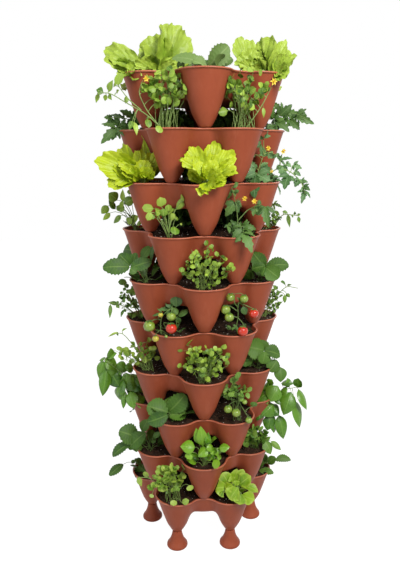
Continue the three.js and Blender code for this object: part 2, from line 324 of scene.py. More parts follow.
def width_at(depth_share):
    """The half width of a lobe at a share of its depth, as a smooth curve through the measured widths."""
    xs, ys = OUTLINE_DEPTH, OUTLINE_WIDTH
    step = np.diff(xs)
    slope = np.diff(ys) / step
    tangent = np.empty_like(ys)
    tangent[1:-1] = (slope[:-1] * step[1:] + slope[1:] * step[:-1]) / (step[1:] + step[:-1])
    tangent[0], tangent[-1] = slope[0] * 1.25, slope[-1]
    x = np.clip(depth_share, xs[0], xs[-1])
    i = np.clip(np.searchsorted(xs, x, side="right") - 1, 0, len(xs) - 2)
    h = step[i]
    t = (x - xs[i]) / h
    return (
        (2 * t**3 - 3 * t**2 + 1) * ys[i]
        + (t**3 - 2 * t**2 + t) * h * tangent[i]
        + (3 * t**2 - 2 * t**3) * ys[i + 1]
        + (t**3 - t**2) * h * tangent[i + 1]
    )


def smooth_min(a, b, k):
    h = np.clip(0.5 + 0.5 * (b - a) / k, 0.0, 1.0)
    return b + (a - b) * h - k * h * (1.0 - h)


def smooth_max(a, b, k):
    return -smooth_min(-a, -b, k)


def lobe_field(x, y, z, bearing, inset):
    """Distance to the lobe at this bearing."""
    angle = np.radians(bearing)
    across = x * np.cos(angle) + y * np.sin(angle)
    out = x * np.sin(angle) - y * np.cos(angle) - LOBE_CIRCLE
    wide = width_at(-z / DEPTH) - inset
    deep = np.maximum(wide * OUT_SHARE, 1.0)
    wide = np.maximum(wide, 1.0)
    far = np.sqrt((across / wide) ** 2 + (out / deep) ** 2)
    steep = np.sqrt((across / wide**2) ** 2 + (out / deep**2) ** 2) + 1e-9
    return 0.92 * far * (far - 1.0) / steep


def pot_field(x, y, z, inset=0.0):
    """Distance to the pot's outer surface moved in by inset. The pot goes on upward past its rim."""
    radius = np.hypot(x, y)
    bearing = np.degrees(np.arctan2(x, -y))
    nearest = np.round(bearing / STEP) * STEP
    beside = nearest + np.where(bearing >= nearest, STEP, -STEP)
    two = [lobe_field(x, y, z, at, inset) for at in (nearest, beside)]
    lobes = smooth_max(smooth_min(*two, LOBE_BLEND), inset - DEPTH - z, TIP_BLEND)
    side = DISH_CORNER + (DISH_RIM - DISH_CORNER) * (1.0 + np.clip(z, -DISH_DEPTH, 0.0) / DISH_DEPTH)
    dish = smooth_max((radius - side) * 0.96 + inset, inset - DISH_DEPTH - z, DISH_BLEND)
    return smooth_min(lobes, dish, DISH_BLEND)


def outer(x, y, z):
    return pot_field(x, y, z)


def inner(x, y, z):
    return pot_field(x, y, z, WALL)


def gradient(field, p, reach=0.2):
    g = np.empty_like(p)
    for axis in range(3):
        step = np.zeros(3)
        step[axis] = reach
        a, b = p + step, p - step
        g[:, axis] = (field(*a.T) - field(*b.T)) / (2 * reach)
    return g / np.maximum(np.linalg.norm(g, axis=1, keepdims=True), 1e-9)


# Times that a surface's points are moved onto it
MOVES_ONTO = 4


def surface(field, low, high, cell):
    """Points and four-sided faces of the surface where the field is zero, found in a grid of cells."""
    axes = [np.arange(a, b + cell, cell) for a, b in zip(low, high)]
    values = field(*np.meshgrid(*axes, indexing="ij"))
    inside = values < 0.0
    shape = np.array(values.shape)
    total = np.zeros(shape - 1)
    place = np.zeros((*(shape - 1), 3))

    def at(array, corner):
        return array[tuple(slice(c, n - 1 + c) for c, n in zip(corner, shape))]

    # A cell's point is the middle of the places where its edges cross the surface
    for a in np.ndindex(2, 2, 2):
        for axis in [i for i in range(3) if a[i] == 0]:
            b = tuple(1 if i == axis else c for i, c in enumerate(a))
            cut = at(inside, a) != at(inside, b)
            va, vb = at(values, a), at(values, b)
            share = np.where(cut, va / np.where(cut, va - vb, 1.0), 0.0)
            for i in range(3):
                place[..., i] += cut * (share if i == axis else a[i])
            total += cut
    active = total > 0
    number = np.full(shape - 1, -1)
    number[active] = np.arange(active.sum())
    points = (np.argwhere(active) + place[active] / total[active][:, None]) * cell + np.array(low)
    for _ in range(MOVES_ONTO):
        direction = gradient(field, points)
        distance = field(*points.T)
        points -= np.clip(distance, -cell, cell)[:, None] * direction

    # A grid edge that crosses the surface makes a face of the four cells round it
    faces = []
    for axis in range(3):
        u, v = [i for i in range(3) if i != axis]
        first, second = [slice(None)] * 3, [slice(None)] * 3
        first[axis], second[axis] = slice(0, -1), slice(1, None)
        change = inside[tuple(first)].astype(int) - inside[tuple(second)].astype(int)
        where = np.argwhere(change != 0)
        for other in (u, v):
            where = where[(where[:, other] > 0) & (where[:, other] < shape[other] - 1)]
        sign = change[tuple(where.T)]
        ring = []
        for du, dv in ((-1, -1), (0, -1), (0, 0), (-1, 0)):
            cell_at = where.copy()
            cell_at[:, u] += du
            cell_at[:, v] += dv
            ring.append(number[tuple(cell_at.T)])
        quad = np.stack(ring, axis=1)
        flip = (sign < 0) if axis != 1 else (sign > 0)
        quad[flip] = quad[flip][:, ::-1]
        faces.append(quad)
    faces = np.concatenate(faces)
    return points, faces[(faces >= 0).all(axis=1)]


def cut_above(points, faces, height):
    """The part of a mesh below a height, with its new edge exactly there."""
    made = bmesh.new()
    verts = [made.verts.new(p) for p in points]
    for face in faces:
        made.faces.new([verts[i] for i in face])
    bmesh.ops.bisect_plane(
        made,
        geom=made.verts[:] + made.edges[:] + made.faces[:],
        dist=0.05,
        plane_co=(0, 0, height),
        plane_no=(0, 0, 1),
        clear_outer=True,
    )
    made.verts.index_update()
    points = np.array([v.co for v in made.verts])
    faces = [[v.index for v in f.verts] for f in made.faces]
    made.free()
    return points, faces


# The outline at the rim is found on this many rays, between two radii, by halving what is between them
RIM_RAYS = 2880
RIM_RADII = (120.0, 240.0)
HALVINGS = 40


def rim_line(inset=0.0, spacing=4.0, height=0.0):
    """The pot's outline at its rim, at even steps, as one closed line seen anticlockwise from above."""
    bearings = np.linspace(0.0, math.tau, RIM_RAYS + 1)[:-1]
    low, high = [np.full(bearings.shape, radius) for radius in RIM_RADII]
    for _ in range(HALVINGS):
        middle = (low + high) / 2
        value = pot_field(middle * np.sin(bearings), -middle * np.cos(bearings), height, inset)
        low, high = np.where(value < 0, middle, low), np.where(value < 0, high, middle)
    line = np.stack([low * np.sin(bearings), -low * np.cos(bearings)], axis=1)
    closed = np.vstack([line, line[:1]])
    length = np.concatenate([[0.0], np.cumsum(np.linalg.norm(np.diff(closed, axis=0), axis=1))])
    count = int(round(length[-1] / spacing / 12)) * 12
    wanted = np.linspace(0.0, length[-1], count + 1)[:-1]
    return np.stack([np.interp(wanted, length, closed[:, i]) for i in (0, 1)], axis=1)


class Build:
    """Collects points, faces, material numbers and leaf coordinates for one mesh, in millimetres."""

    def __init__(self, *materials):
        self.points, self.faces, self.numbers, self.uvs, self.normals = [], [], [], [], []
        self.materials = materials
        self.count = 0

    def add(self, points, faces, material=0, uv=None, normals=None):
        points = np.asarray(points, float).reshape(-1, 3)
        self.points.append(points)
        self.faces.extend([[i + self.count for i in f] for f in faces])
        self.numbers.extend([material] * len(faces))
        self.uvs.append(np.zeros((len(points), 2)) if uv is None else np.asarray(uv).reshape(-1, 2))
        self.normals.append(np.zeros((len(points), 3)) if normals is None else normals)
        self.count += len(points)

    def grid(self, points, material=0, uv=None, closed=False):
        """A sheet from points [rows, columns, 3]. Closed joins the last column to the first."""
        rows, columns = points.shape[:2]
        index = np.arange(rows * columns).reshape(rows, columns)
        if closed:
            index = np.concatenate([index, index[:, :1]], axis=1)
        quads = np.stack([index[:-1, :-1], index[:-1, 1:], index[1:, 1:], index[1:, :-1]], axis=-1)
        self.add(points, quads.reshape(-1, 4).tolist(), material, uv)

    def mesh(self, name):
        points = np.concatenate(self.points)
        mesh = bpy.data.meshes.new(name)
        mesh.from_pydata((points * MM).tolist(), [], self.faces)
        for material in self.materials:
            mesh.materials.append(SLOT_MATERIALS[material])
        mesh.polygons.foreach_set("material_index", self.numbers)
        mesh.polygons.foreach_set("use_smooth", [True] * len(self.faces))
        layer = mesh.uv_layers.new(name="leaf")
        loops = np.empty(len(mesh.loops), int)
        mesh.loops.foreach_get("vertex_index", loops)
        layer.data.foreach_set("uv", np.concatenate(self.uvs)[loops].astype(np.float32).ravel())
        mesh.update()
        # Points that were given no normal keep their own
        given = np.concatenate(self.normals)
        if np.abs(given).sum() > 0:
            own = np.empty(len(points) * 3)
            mesh.vertices.foreach_get("normal", own)
            own = own.reshape(-1, 3)
            plain = np.linalg.norm(given, axis=1) < 0.5
            given[plain] = own[plain]
            mesh.normals_split_custom_set_from_vertices(given.tolist())
        return mesh


def place(name, mesh, body, slot, replaced, height, bearing, out=0.0):
    """A piece from a copy of a mesh, moved out, turned to a bearing and lifted, riding on a body."""
    mesh = mesh.copy()
    turned = Matrix.Rotation(math.radians(bearing), 4, "Z")
    mesh.transform(Matrix.Translation((0, 0, height * MM)) @ turned @ Matrix.Translation((0, -out * MM, 0)))
    piece = bpy.data.objects.new(name, mesh)
    bpy.context.scene.collection.objects.link(piece)
    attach(piece, body)
    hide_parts(replaced)
    return piece


# The box that holds a pot, the sizes of the cells that its surfaces are found in, and its cut below the rim
POT_LOW = (-232.0, -232.0, -136.0)
POT_HIGH = (232.0, 232.0, 8.0)
OUTER_CELL = 5.5
INNER_CELL = 7.5
RIM_CUT = -0.5

# Rounded profiles: the lip as steps outward and heights, the leg as radii and heights
LIP_PROFILE = [
    (-WALL - 0.3, -3.0), (-WALL - 0.4, -1.2), (-WALL * 0.7, -0.2), (-0.3, 0.0), (LIP * 0.6, -0.3),
    (LIP, -1.3), (LIP, -2.7), (LIP * 0.7, -3.7), (-0.4, -4.4),
]
LEG_PROFILE = [
    (0.0, 54.0), (13.6, 54.0), (14.3, 53.5), (14.5, 51.0), (15.4, 46.0), (17.0, 38.0), (19.4, 30.0),
    (22.6, 22.0), (26.0, 15.5), (29.4, 10.8), (31.4, 7.6), (32.0, 5.0), (32.0, 2.0), (31.0, 0.4),
    (29.6, 0.0), (28.4, 0.6), (27.6, 5.0), (24.0, 12.4), (20.0, 19.0), (15.8, 30.0), (12.6, 41.0),
    (11.4, 50.5), (0.0, 51.0),
]
LEG_SIDES = 40


def pot_mesh():
    build = Build("plastic", "lip")
    for field, cell, way in ((outer, OUTER_CELL, 1), (inner, INNER_CELL, -1)):
        points, faces = cut_above(*surface(field, POT_LOW, POT_HIGH, cell), RIM_CUT)
        build.add(points, [f[::way] for f in faces], 0, normals=way * gradient(field, points))
    line = rim_line()
    along = np.roll(line, -1, axis=0) - np.roll(line, 1, axis=0)
    along /= np.linalg.norm(along, axis=1, keepdims=True)
    outward = np.stack([along[:, 1], -along[:, 0]], axis=1)
    rings = [np.column_stack([line + outward * out, np.full(len(line), z)]) for out, z in LIP_PROFILE]
    build.grid(np.array(rings), 1, closed=True)
    return build.mesh("pot")


def leg_mesh():
    build = Build("plastic")
    turns = np.linspace(0.0, math.tau, LEG_SIDES + 1)[:-1]
    rings = [[(r * math.sin(t), -r * math.cos(t), z) for t in turns] for r, z in LEG_PROFILE]
    build.grid(np.array(rings)[:, ::-1], 0, closed=True)
    return build.mesh("leg")


def wave_noise(rng, count, low, high):
    """A smooth random height over the plane, from waves of the given lengths."""
    directions = rng.uniform(0, math.tau, count)
    lengths = rng.uniform(low, high, count)
    phases = rng.uniform(0, math.tau, count)

    def height(x, y):
        total = np.zeros(np.shape(x))
        for direction, length, phase in zip(directions, lengths, phases):
            total += np.sin((x * math.cos(direction) + y * math.sin(direction)) * math.tau / length + phase)
        return total / math.sqrt(count)

    return height


# The compost's gaps to the wall, its rings from the middle to the edge, the count and the least and
# greatest length of the waves on it, their height, its grain, and its lowest and highest points
SOIL_GAP = 0.5
SOIL_BODY_GAP = 0.4
SOIL_RINGS = np.concatenate([np.linspace(0.01, 0.4, 6), np.linspace(0.44, 1.0, 24)])
SOIL_RIM_SPACING = 6.0
SOIL_LUMPS = (14, 22.0, 60.0)
SOIL_CRUMBS = (22, 6.0, 14.0)
SOIL_SINK = 0.4
SOIL_WAVE = 1.3
SOIL_GRAIN = 0.7
SOIL_RANGE = (-16.0, -3.4)

# The box and cells that the compost's underside is found in, and its cut below the surface
SOIL_LOW = (-226, -226, -70)
SOIL_HIGH = (226, 226, 4)
SOIL_CELL = 11.0
SOIL_CUT = 2.0

# The stones on it: their number, reach, gap to the wall, sizes and lift, the share that is perlite, and
# the middle where fewer lie
STONES = 340
STONE_REACH = 222
STONE_GAP = 4.0
STONE_SIZES = (1.0, 2.3)
STONE_LIFT = 0.3
PERLITE_SHARE = 0.55
QUIET_RADIUS = 60.0
QUIET_SHARE = 0.6


def soil_mesh(seed):
    rng = np.random.default_rng(seed)
    build = Build("soil", "perlite")
    edge = rim_line(WALL + SOIL_GAP, SOIL_RIM_SPACING, -SOIL_DROP)
    x, y = [SOIL_RINGS[:, None] * edge[None, :, axis] for axis in (0, 1)]
    lumps, crumbs = wave_noise(rng, *SOIL_LUMPS), wave_noise(rng, *SOIL_CRUMBS)

    def top(a, b):
        """The loose surface, a little higher under each plant."""
        bearing = np.arctan2(a, -b)
        near = np.round(bearing / math.radians(STEP)) * math.radians(STEP)
        from_plant = np.hypot(a - PLANT_CIRCLE * np.sin(near), b + PLANT_CIRCLE * np.cos(near))
        heap = HEAP_HEIGHT * np.clip((HEAP_RADIUS - from_plant) / (HEAP_RADIUS - HEAP_TOP_RADIUS), 0, 1)
        return -SOIL_DROP - SOIL_SINK + heap + SOIL_WAVE * lumps(a, b) + SOIL_WAVE * crumbs(a, b)

    z = np.clip(top(x, y) + rng.normal(0.0, SOIL_GRAIN, x.shape), *SOIL_RANGE)
    sheet = np.stack([x, y, z], axis=-1)
    build.grid(sheet, 0, closed=True)
    build.add(sheet[0], [list(range(len(edge)))[::-1]], 0)
    below = surface(lambda a, b, c: pot_field(a, b, c, WALL + SOIL_BODY_GAP), SOIL_LOW, SOIL_HIGH, SOIL_CELL)
    points, faces = cut_above(*below, -SOIL_DROP - SOIL_CUT)
    build.add(points, faces, 0, normals=gradient(inner, points))

    ball = bmesh.new()
    bmesh.ops.create_icosphere(ball, subdivisions=1, radius=1.0)
    stone = np.array([v.co for v in ball.verts])
    stone_faces = [[v.index for v in f.verts] for f in ball.faces]
    ball.free()
    placed = 0
    while placed < STONES:
        a, b = rng.uniform(-STONE_REACH, STONE_REACH, 2)
        if pot_field(a, b, -SOIL_DROP, WALL + STONE_GAP) > 0:
            continue
        if math.hypot(a, b) < QUIET_RADIUS and rng.random() < QUIET_SHARE:
            continue
        size = rng.uniform(*STONE_SIZES) * np.array([1.0, rng.uniform(0.6, 1.0), rng.uniform(0.5, 0.9)])
        made = stone * size * rng.uniform(0.75, 1.15, (len(stone), 1))
        white = rng.random() < PERLITE_SHARE
        build.add(made + np.array([a, b, top(a, b) + STONE_LIFT]), stone_faces, 1 if white else 0)
        placed += 1
    return build.mesh("compost")


def build_structure():
    pot, leg = pot_mesh(), leg_mesh()
    soils = [soil_mesh(3), soil_mesh(4)]
    for tier in range(1, TIERS + 1):
        label, body = tier_names(tier)
        height, bearing = rim_height(tier), first_bearing(tier)
        place(f"{label}_smooth_pot", pot, body, "terracotta_plastic", f"{label}_pot", height, bearing)
        turned = bearing + STEP * ((tier // 2) % POCKETS)
        soil = soils[tier % 2]
        place(f"{label}_loose_compost", soil, body, "potting_compost", f"{label}_compost", height, turned)
    for i in range(POCKETS):
        node = f"leg_{i + 1}"
        bearing = first_bearing(TIERS) + STEP * i
        place(f"{node}_flared", leg, "base", "terracotta_plastic", node, 0.0, bearing, LOBE_CIRCLE)


build_structure()


# Half the width of a leaf along its length, by the letter of its shape
OUTLINES = {
    "r": lambda u: np.sqrt(np.clip(1 - (2 * u - 1) ** 2, 0, 1)) ** 0.9,
    "o": lambda u: np.sin(math.pi * u**0.8) ** 0.85,
    "w": lambda u: np.sin(math.pi * u**1.05 * 0.985) ** 0.62,
    "l": lambda u: np.sin(math.pi * u**0.75) ** 1.15,
    "s": lambda u: np.sin(math.pi * u**1.3) ** 0.75,
}
OUTLINES["t"] = OUTLINES["o"]

# Rows, columns, teeth, depth of teeth, lowest and highest cup, pleat, wave, arch, roll in degrees
LEAVES = {
    "r": (6, 5, 0, 0.0, -0.35, 0.4, 0.0, 0.0, 0.08, 42),
    "o": (9, 7, 0, 0.0, -0.42, -0.15, 0.005, 0.0, 0.1, 22),
    "t": (13, 5, 4, 0.42, 0.0, 0.35, 0.0, 0.0, 0.1, 28),
    "w": (25, 9, 8, 0.2, 0.04, 0.26, 0.026, 0.0, 0.1, 18),
    "l": (7, 3, 0, 0.0, 0.1, 0.3, 0.0, 0.0, 0.08, 30),
    "s": (11, 9, 0, 0.0, -0.15, 0.35, 0.0, 0.08, 0.1, 26),
}

# How far leaves turn at random, their least share of width, and the waves along their edge
LEAF_TURN = 0.27
LEAF_FLOOR = 0.015
WAVES_PER_LEAF = 2.2

# A lettuce leaf: points along and across it, the angle of its sides, the ruffles of its edge as height,
# waves, phase and drift, and how many crumples cross its face
FAN_ROWS, FAN_COLUMNS = 19, 57
FAN_ANGLE = 1.5
FAN_RUFFLES = ((0.055, 8, 3, 0), (0.045, 17, 4, 1), (0.03, 37, 5, -2), (0.018, 67, 8, 0))
FAN_CRUMPLES = 6

# The material numbers of a plant: leaf, stem, petal and the three kinds of fruit
LEAF, STEM, PETAL = 0, 1, 2
FRUITS = {"red": 3, "green": 4, "yellow": 5}

# Radii at the start and the end of stems and stalks
MAIN_STEM = (1.7, 0.9)
BROAD_STALK = (3.2, 2.0)
LEAF_STALK = (1.1, 0.7)
FLOWER_STALK = (0.9, 0.6)
FRUIT_STALK = (1.0, 0.8)
CLUSTER_STEM = (0.9, 0.5)
CLUSTER_STALK = (0.5, 0.4)

# The leaf coordinate at a stem's end, the parts of flowers and fruit, and how many leaves fill the side
# that a plant isn't seen from, at how many degrees from each other
STEM_END = 0.98
PETALS = 6
PETAL_SHARE = 0.82
SEPALS = 5
FILL_LEAVES = 5
FILL_TURN = 48
UP = np.array([0.0, 0.0, 1.0])


def unit(v):
    return np.asarray(v, float) / max(float(np.linalg.norm(v)), 1e-9)


class Plant:
    """Grows one plant's rows into a mesh. Leaves turn their faces to the side the plant is seen from."""

    def __init__(self, materials, view, seed, size):
        self.rng = np.random.default_rng(seed)
        self.build = Build(*materials)
        self.view = unit(view)
        self.side = unit(np.cross(self.view, -UP))
        self.anchors = []
        self.size = size

    def leaf_uv(self, u, v):
        """Leaf coordinates, with a whole number added to the first so that leaves differ in tint."""
        tint = self.rng.integers(0, 9)
        return np.stack([np.clip(u, 0.004, 0.985) + tint, np.clip(v * 0.5 + 0.5, 0, 1)], axis=-1)

    def sheet(self, foot, tip, along, across, lift, u, v, arch, roll):
        """Puts a flat leaf on a bowed midrib from foot to tip."""
        run = tip - foot
        way = unit(run)
        facing = unit(self.view + 0.4 * UP + self.rng.normal(0, LEAF_TURN, 3))
        side = unit(np.cross(facing, way))
        normal = np.cross(way, side)
        turn = math.radians(self.rng.uniform(-roll, roll))
        cos, sin = math.cos(turn), math.sin(turn)
        side, normal = side * cos + normal * sin, normal * cos - side * sin
        lift = lift + 4 * along * (1 - along) * arch * np.linalg.norm(run)
        along, across, lift = [part[..., None] for part in (along, across, lift)]
        self.build.grid(foot + run * along + side * across + normal * lift, LEAF, self.leaf_uv(u, v))

    def leaf(self, shape, foot, tip, width):
        """A leaf of one of the shapes in LEAVES."""
        rows, columns, teeth, tooth, low, high, pleat, wave, arch, roll = LEAVES[shape]
        width *= self.size
        u = np.linspace(0.0, 1.0, rows)[:, None] + np.zeros((1, columns))
        v = np.linspace(1.0, -1.0, columns)[None, :] + 0 * u
        half = OUTLINES[shape](u) + LEAF_FLOOR
        edge = np.abs(v) ** 3
        if teeth:
            half = half * (1.0 - tooth * edge * (1.0 - (u * teeth) % 1.0))
        lift = self.rng.uniform(low, high) * width / 2 * v**2 * half
        lift = lift + pleat * width * np.sin(math.tau * (u * max(teeth, 6) + np.abs(v))) * np.abs(v)
        phase = self.rng.uniform(0, 6.28, 2)
        swing = np.sin(math.tau * WAVES_PER_LEAF * u + np.where(v > 0, phase[0], phase[1]))
        lift = lift + wave * width * edge * swing * np.sin(math.pi * u)
        self.sheet(foot, tip, u, v * half * width / 2, lift, u, v, arch, roll)

    def fan(self, foot, tip, width, curl=1.0):
        """A broad round leaf with a crumpled face and a ruffled edge that curls outward."""
        length = float(np.linalg.norm(tip - foot))
        r = np.linspace(0.02, 1.0, FAN_ROWS)[:, None] ** 0.75
        t = np.linspace(1.0, -1.0, FAN_COLUMNS)[None, :]
        phase = self.rng.uniform(0, math.tau, 12)
        angle = FAN_ANGLE * t
        reach = np.cos(angle) ** 0.7 * (1 + 0.3 * np.sin(1.3 * angle) ** 2)
        reach = reach * (1 + 0.05 * np.sin(4 * t + phase[0]) + 0.03 * np.sin(15 * t + phase[1]))
        reach = reach * (1 + 0.018 * np.sin(33 * t + phase[2]))
        neck = 0.35 + 0.65 * np.clip(r * 1.4, 0, 1)
        along, across = r * reach * np.cos(angle * neck), r * reach * np.sin(angle * neck)
        across = across * (width / 2 / np.abs(across).max())
        ruffle = sum(high * np.sin(waves * t + phase[i] + drift * r) for high, waves, i, drift in FAN_RUFFLES)
        lift = width * (0.11 * curl + 1.05 * ruffle) * r**4 + 0.36 * across**2 / max(length, width)
        for k in range(FAN_CRUMPLES):
            way, waves = phase[6] + k * 2.4, 9.0 + 3.5 * k
            ahead = along * length * math.cos(way) + across * math.sin(way)
            crumple = np.sin(waves / width * ahead * 2 + phase[(7 + k) % 12])
            lift = lift + 0.11 / waves * width * crumple * r
        self.sheet(foot, tip, along, across, lift, r + 0 * t, t + 0 * r, 0.12, 20)

    def tube(self, path, thick, thin, sides=5, material=STEM):
        """A tapering tube along a path."""
        ahead = np.gradient(path, axis=0)
        ahead /= np.linalg.norm(ahead, axis=1, keepdims=True) + 1e-9
        side = np.cross(ahead, [0.3, 0.2, 1.0])
        side /= np.linalg.norm(side, axis=1, keepdims=True) + 1e-9
        other = np.cross(ahead, side)
        radius = np.linspace(thick, thin, len(path))[:, None]
        turns = np.linspace(0, math.tau, sides + 1)[:-1]
        rings = [path + radius * (side * math.cos(t) + other * math.sin(t)) for t in turns]
        u = np.linspace(0, STEM_END, len(path))[:, None] + 0 * turns[None, :]
        self.build.grid(np.stack(rings, axis=1)[:, ::-1], material, self.leaf_uv(u, 0 * u), closed=True)

    def stalk(self, start, end, thick, thin, bow=0.16, count=6, sides=5):
        """A stalk bowed upward between two points."""
        t = np.linspace(0, 1, count)[:, None]
        rise = bow * np.linalg.norm(end - start) * UP
        self.tube(start + (end - start) * t + 4 * t * (1 - t) * rise, thick, thin, sides)

    def crown(self, spread=7.0):
        """A place just under the compost where a plant starts."""
        return np.array([*self.rng.uniform(-spread, spread, 2), -2.0])

    def hold(self, foot, thick, thin, reach=60.0):
        """Joins a foot to the nearest stem within reach, or to the crown."""
        near = [a for a in self.anchors if np.linalg.norm(a - foot) < reach]
        start = min(near, key=lambda a: np.linalg.norm(a - foot)) if near else self.crown()
        if np.linalg.norm(start - foot) > 1.5:
            self.stalk(start, foot, thick, thin, 0.16 if near else 0.24)

    def stem(self, points):
        """A smooth stem through points, from the crown if it starts close to it."""
        points = np.asarray(points, float).reshape(-1, 3)
        if np.linalg.norm(points[0, :2]) < 34 and points[0, 2] < 40:
            points = np.vstack([self.crown(4.0), points])
        share = np.linspace(0, len(points) - 1, 4 * len(points))
        path = np.stack([np.interp(share, np.arange(len(points)), points[:, i]) for i in range(3)], axis=1)
        for _ in range(2):
            path[1:-1] = (path[:-2] + 2 * path[1:-1] + path[2:]) / 4
        self.tube(path, *MAIN_STEM)
        self.anchors.extend(path)

    def cluster(self, x, y, z, wide, high, deep, count, small, large, spread):
        """Many small round leaves on thin stems, inside an ellipsoid."""
        rng, count = self.rng, int(count)
        middle = np.array([x, y, z])
        back = unit(self.view * (1, 1, 0))

        def inside(power):
            way = unit(rng.normal(0, 1, 3))
            far = rng.uniform(0, 1) ** power
            return middle + (self.side * wide * way[0] + high * UP * way[1] + back * deep * way[2]) * far

        # Stems from the compost to places inside, then leaves on the nearest parts of them
        joints = []
        for _ in range(max(5, count // 4)):
            end = inside(0.5)
            start = self.side * rng.uniform(-spread, spread) + back * rng.uniform(-0.6, 0.6) * spread
            start[2] = -2.0
            t = np.linspace(0, 1, 7)[:, None]
            sway = self.side * rng.normal(0, 3) + back * rng.normal(0, 3)
            path = start + (end - start) * np.concatenate([t, t, t**0.8], axis=1) + np.sin(t * 3.1) * sway
            self.tube(path, *CLUSTER_STEM, 4)
            joints.extend(path[2:])
        joints = np.array(joints)
        for _ in range(count):
            tip = inside(0.36)
            nearest = joints[np.argmin(np.linalg.norm(joints - tip + 5 * UP, axis=1))]
            size = rng.uniform(small, large)
            out = unit(tip - nearest + self.view * 3 + rng.normal(0, 3, 3))
            foot = tip - out * size * 0.9
            self.stalk(nearest, foot, *CLUSTER_STALK, 0.1, 3, 3)
            self.leaf("r", foot, tip, size * rng.uniform(0.75, 1.0))

    def flower(self, centre, radius):
        """Pointed petals round a short cone."""
        radius = PETAL_SHARE * radius
        self.hold(centre, *FLOWER_STALK)
        for i in range(PETALS):
            angle = math.radians(360 / PETALS * i + self.rng.uniform(-10, 10))
            out = self.side * math.cos(angle) + UP * math.sin(angle) + self.view * 0.55
            before = len(self.build.numbers)
            self.leaf("l", centre, centre + unit(out) * radius * 0.72, radius * 0.42)
            self.build.numbers[before:] = [PETAL] * (len(self.build.numbers) - before)
        tip = centre + self.view * radius * 0.5
        self.tube(np.linspace(centre, tip, 4), radius * 0.14, radius * 0.05, 5, PETAL)

    def fruit(self, centre, radius, material):
        """A ball with a small dent at its stalk, under a star of pointed leaves."""
        top = centre + radius * 0.9 * UP
        self.hold(top, *FRUIT_STALK)
        u = np.linspace(0.0, math.pi, 11)[:, None]
        v = np.linspace(0.0, math.tau, 17)[None, :-1]
        ball = np.stack([np.sin(u) * np.cos(v), np.sin(u) * np.sin(v), -0.94 * np.cos(u) + 0 * v], axis=-1)
        ball = ball * radius * (1.0 - 0.1 * np.exp(-((math.pi - u) ** 2) / 0.12))[..., None] + centre
        uv = self.leaf_uv(u / math.pi + 0 * v, 0 * u + 0 * v)
        self.build.grid(ball[:, ::-1], material, uv, closed=True)
        for i in range(SEPALS):
            angle = math.radians(360 / SEPALS * i + self.rng.uniform(-10, 10))
            tip = top + np.array([math.cos(angle), math.sin(angle), -0.25]) * radius * 0.75
            self.leaf("l", top, tip, radius * 0.28)

    def fill(self, rows):
        """A few more of the plant's own leaves on the side it isn't seen from."""
        blades = [row for row in rows if row[0] in "fwtos"]
        if len(blades) < 3:
            return
        numbers = np.array([row[1:8] for row in blades], float)
        length = np.median(np.linalg.norm(numbers[:, 3:6] - numbers[:, :3], axis=1))
        width = np.median(numbers[:, 6])
        away = math.atan2(-self.view[1], -self.view[0])
        for i in range(FILL_LEAVES):
            turn = FILL_TURN * (i - FILL_LEAVES // 2)
            angle = away + math.radians(turn + self.rng.uniform(-10, 10))
            out = np.array([math.cos(angle), math.sin(angle), 0.0])
            foot = out * (8 if blades[0][0] in "fs" else 24) + self.rng.uniform(4, 16) * UP
            tip = foot + unit(out + self.rng.uniform(0.3, 1.1) * UP) * length * 0.8
            kept, self.view = self.view, unit(out * 0.5 + 0.8 * UP)
            self.grow([blades[i % len(blades)][0], *foot, *tip, width * 0.9])
            self.view = kept

    def grow(self, row):
        word, numbers = row[0], np.array(row[1:], float)
        if word == "C":
            self.cluster(*numbers)
        elif word == "y":
            self.flower(numbers[:3], numbers[3])
        elif word in FRUITS:
            self.fruit(numbers[:3], numbers[3], FRUITS[word])
        else:
            foot, tip, width = numbers[:3], numbers[3:6], numbers[6]
            if word in "fs":
                self.hold(foot, *BROAD_STALK, 0.0)
            else:
                self.hold(foot, *LEAF_STALK)
            if word == "f":
                self.lettuce_leaf(foot, tip, width)
            else:
                self.leaf(word, foot, tip, width)
            if word == "t":
                self.side_leaflets(foot, tip, width)

    def lettuce_leaf(self, foot, tip, width):
        """A broad leaf with a smaller, more curled one in front of it."""
        tip = tip + self.view * self.rng.uniform(-0.12, 0.12) * width
        self.fan(foot, tip, width)
        lean = self.side * self.rng.uniform(-0.2, 0.2) * width + self.view * self.rng.uniform(4, 12)
        self.fan(foot, foot + (tip - foot) * self.rng.uniform(0.6, 0.76) + lean, width * 0.74, 1.6)

    def side_leaflets(self, foot, tip, width):
        """The smaller pair of leaflets behind the end leaflet of a tomato leaf."""
        run = tip - foot
        away = unit(np.cross(self.view, run)) * np.linalg.norm(run)
        for turn in (-1, 1):
            reach = run * self.rng.uniform(0.2, 0.42) + away * turn * self.rng.uniform(0.42, 0.6)
            start = foot + run * self.rng.uniform(-0.08, 0.1)
            self.leaf("t", start, start + reach, width * 0.62)


# How far the middle of a pocket's compost, from which a plant's rows are measured, is from the axis
POCKET_CIRCLE = 183.0

# The least distances of leaves from the pot above, the wall and the lip, the most they are pushed
# upward, their height where they pass over the lip, and how deep they may stand in the compost
SETTLE_ROUNDS = 3
NEAR_ABOVE = 2.5
CLEAR_ABOVE = 2.7
MOST_UPWARD = 0.15
CLEAR_WALL = 3.0
CLEAR_LIP = 2.2
OVER_LIP = 3.0
ROOT_DEPTH = 1.5


def above(x, y, z):
    """Distance to the pot of the tier above."""
    cos, sin = math.cos(math.radians(STEP / 2)), math.sin(math.radians(STEP / 2))
    return pot_field(x * cos - y * sin, x * sin + y * cos, z - PITCH)


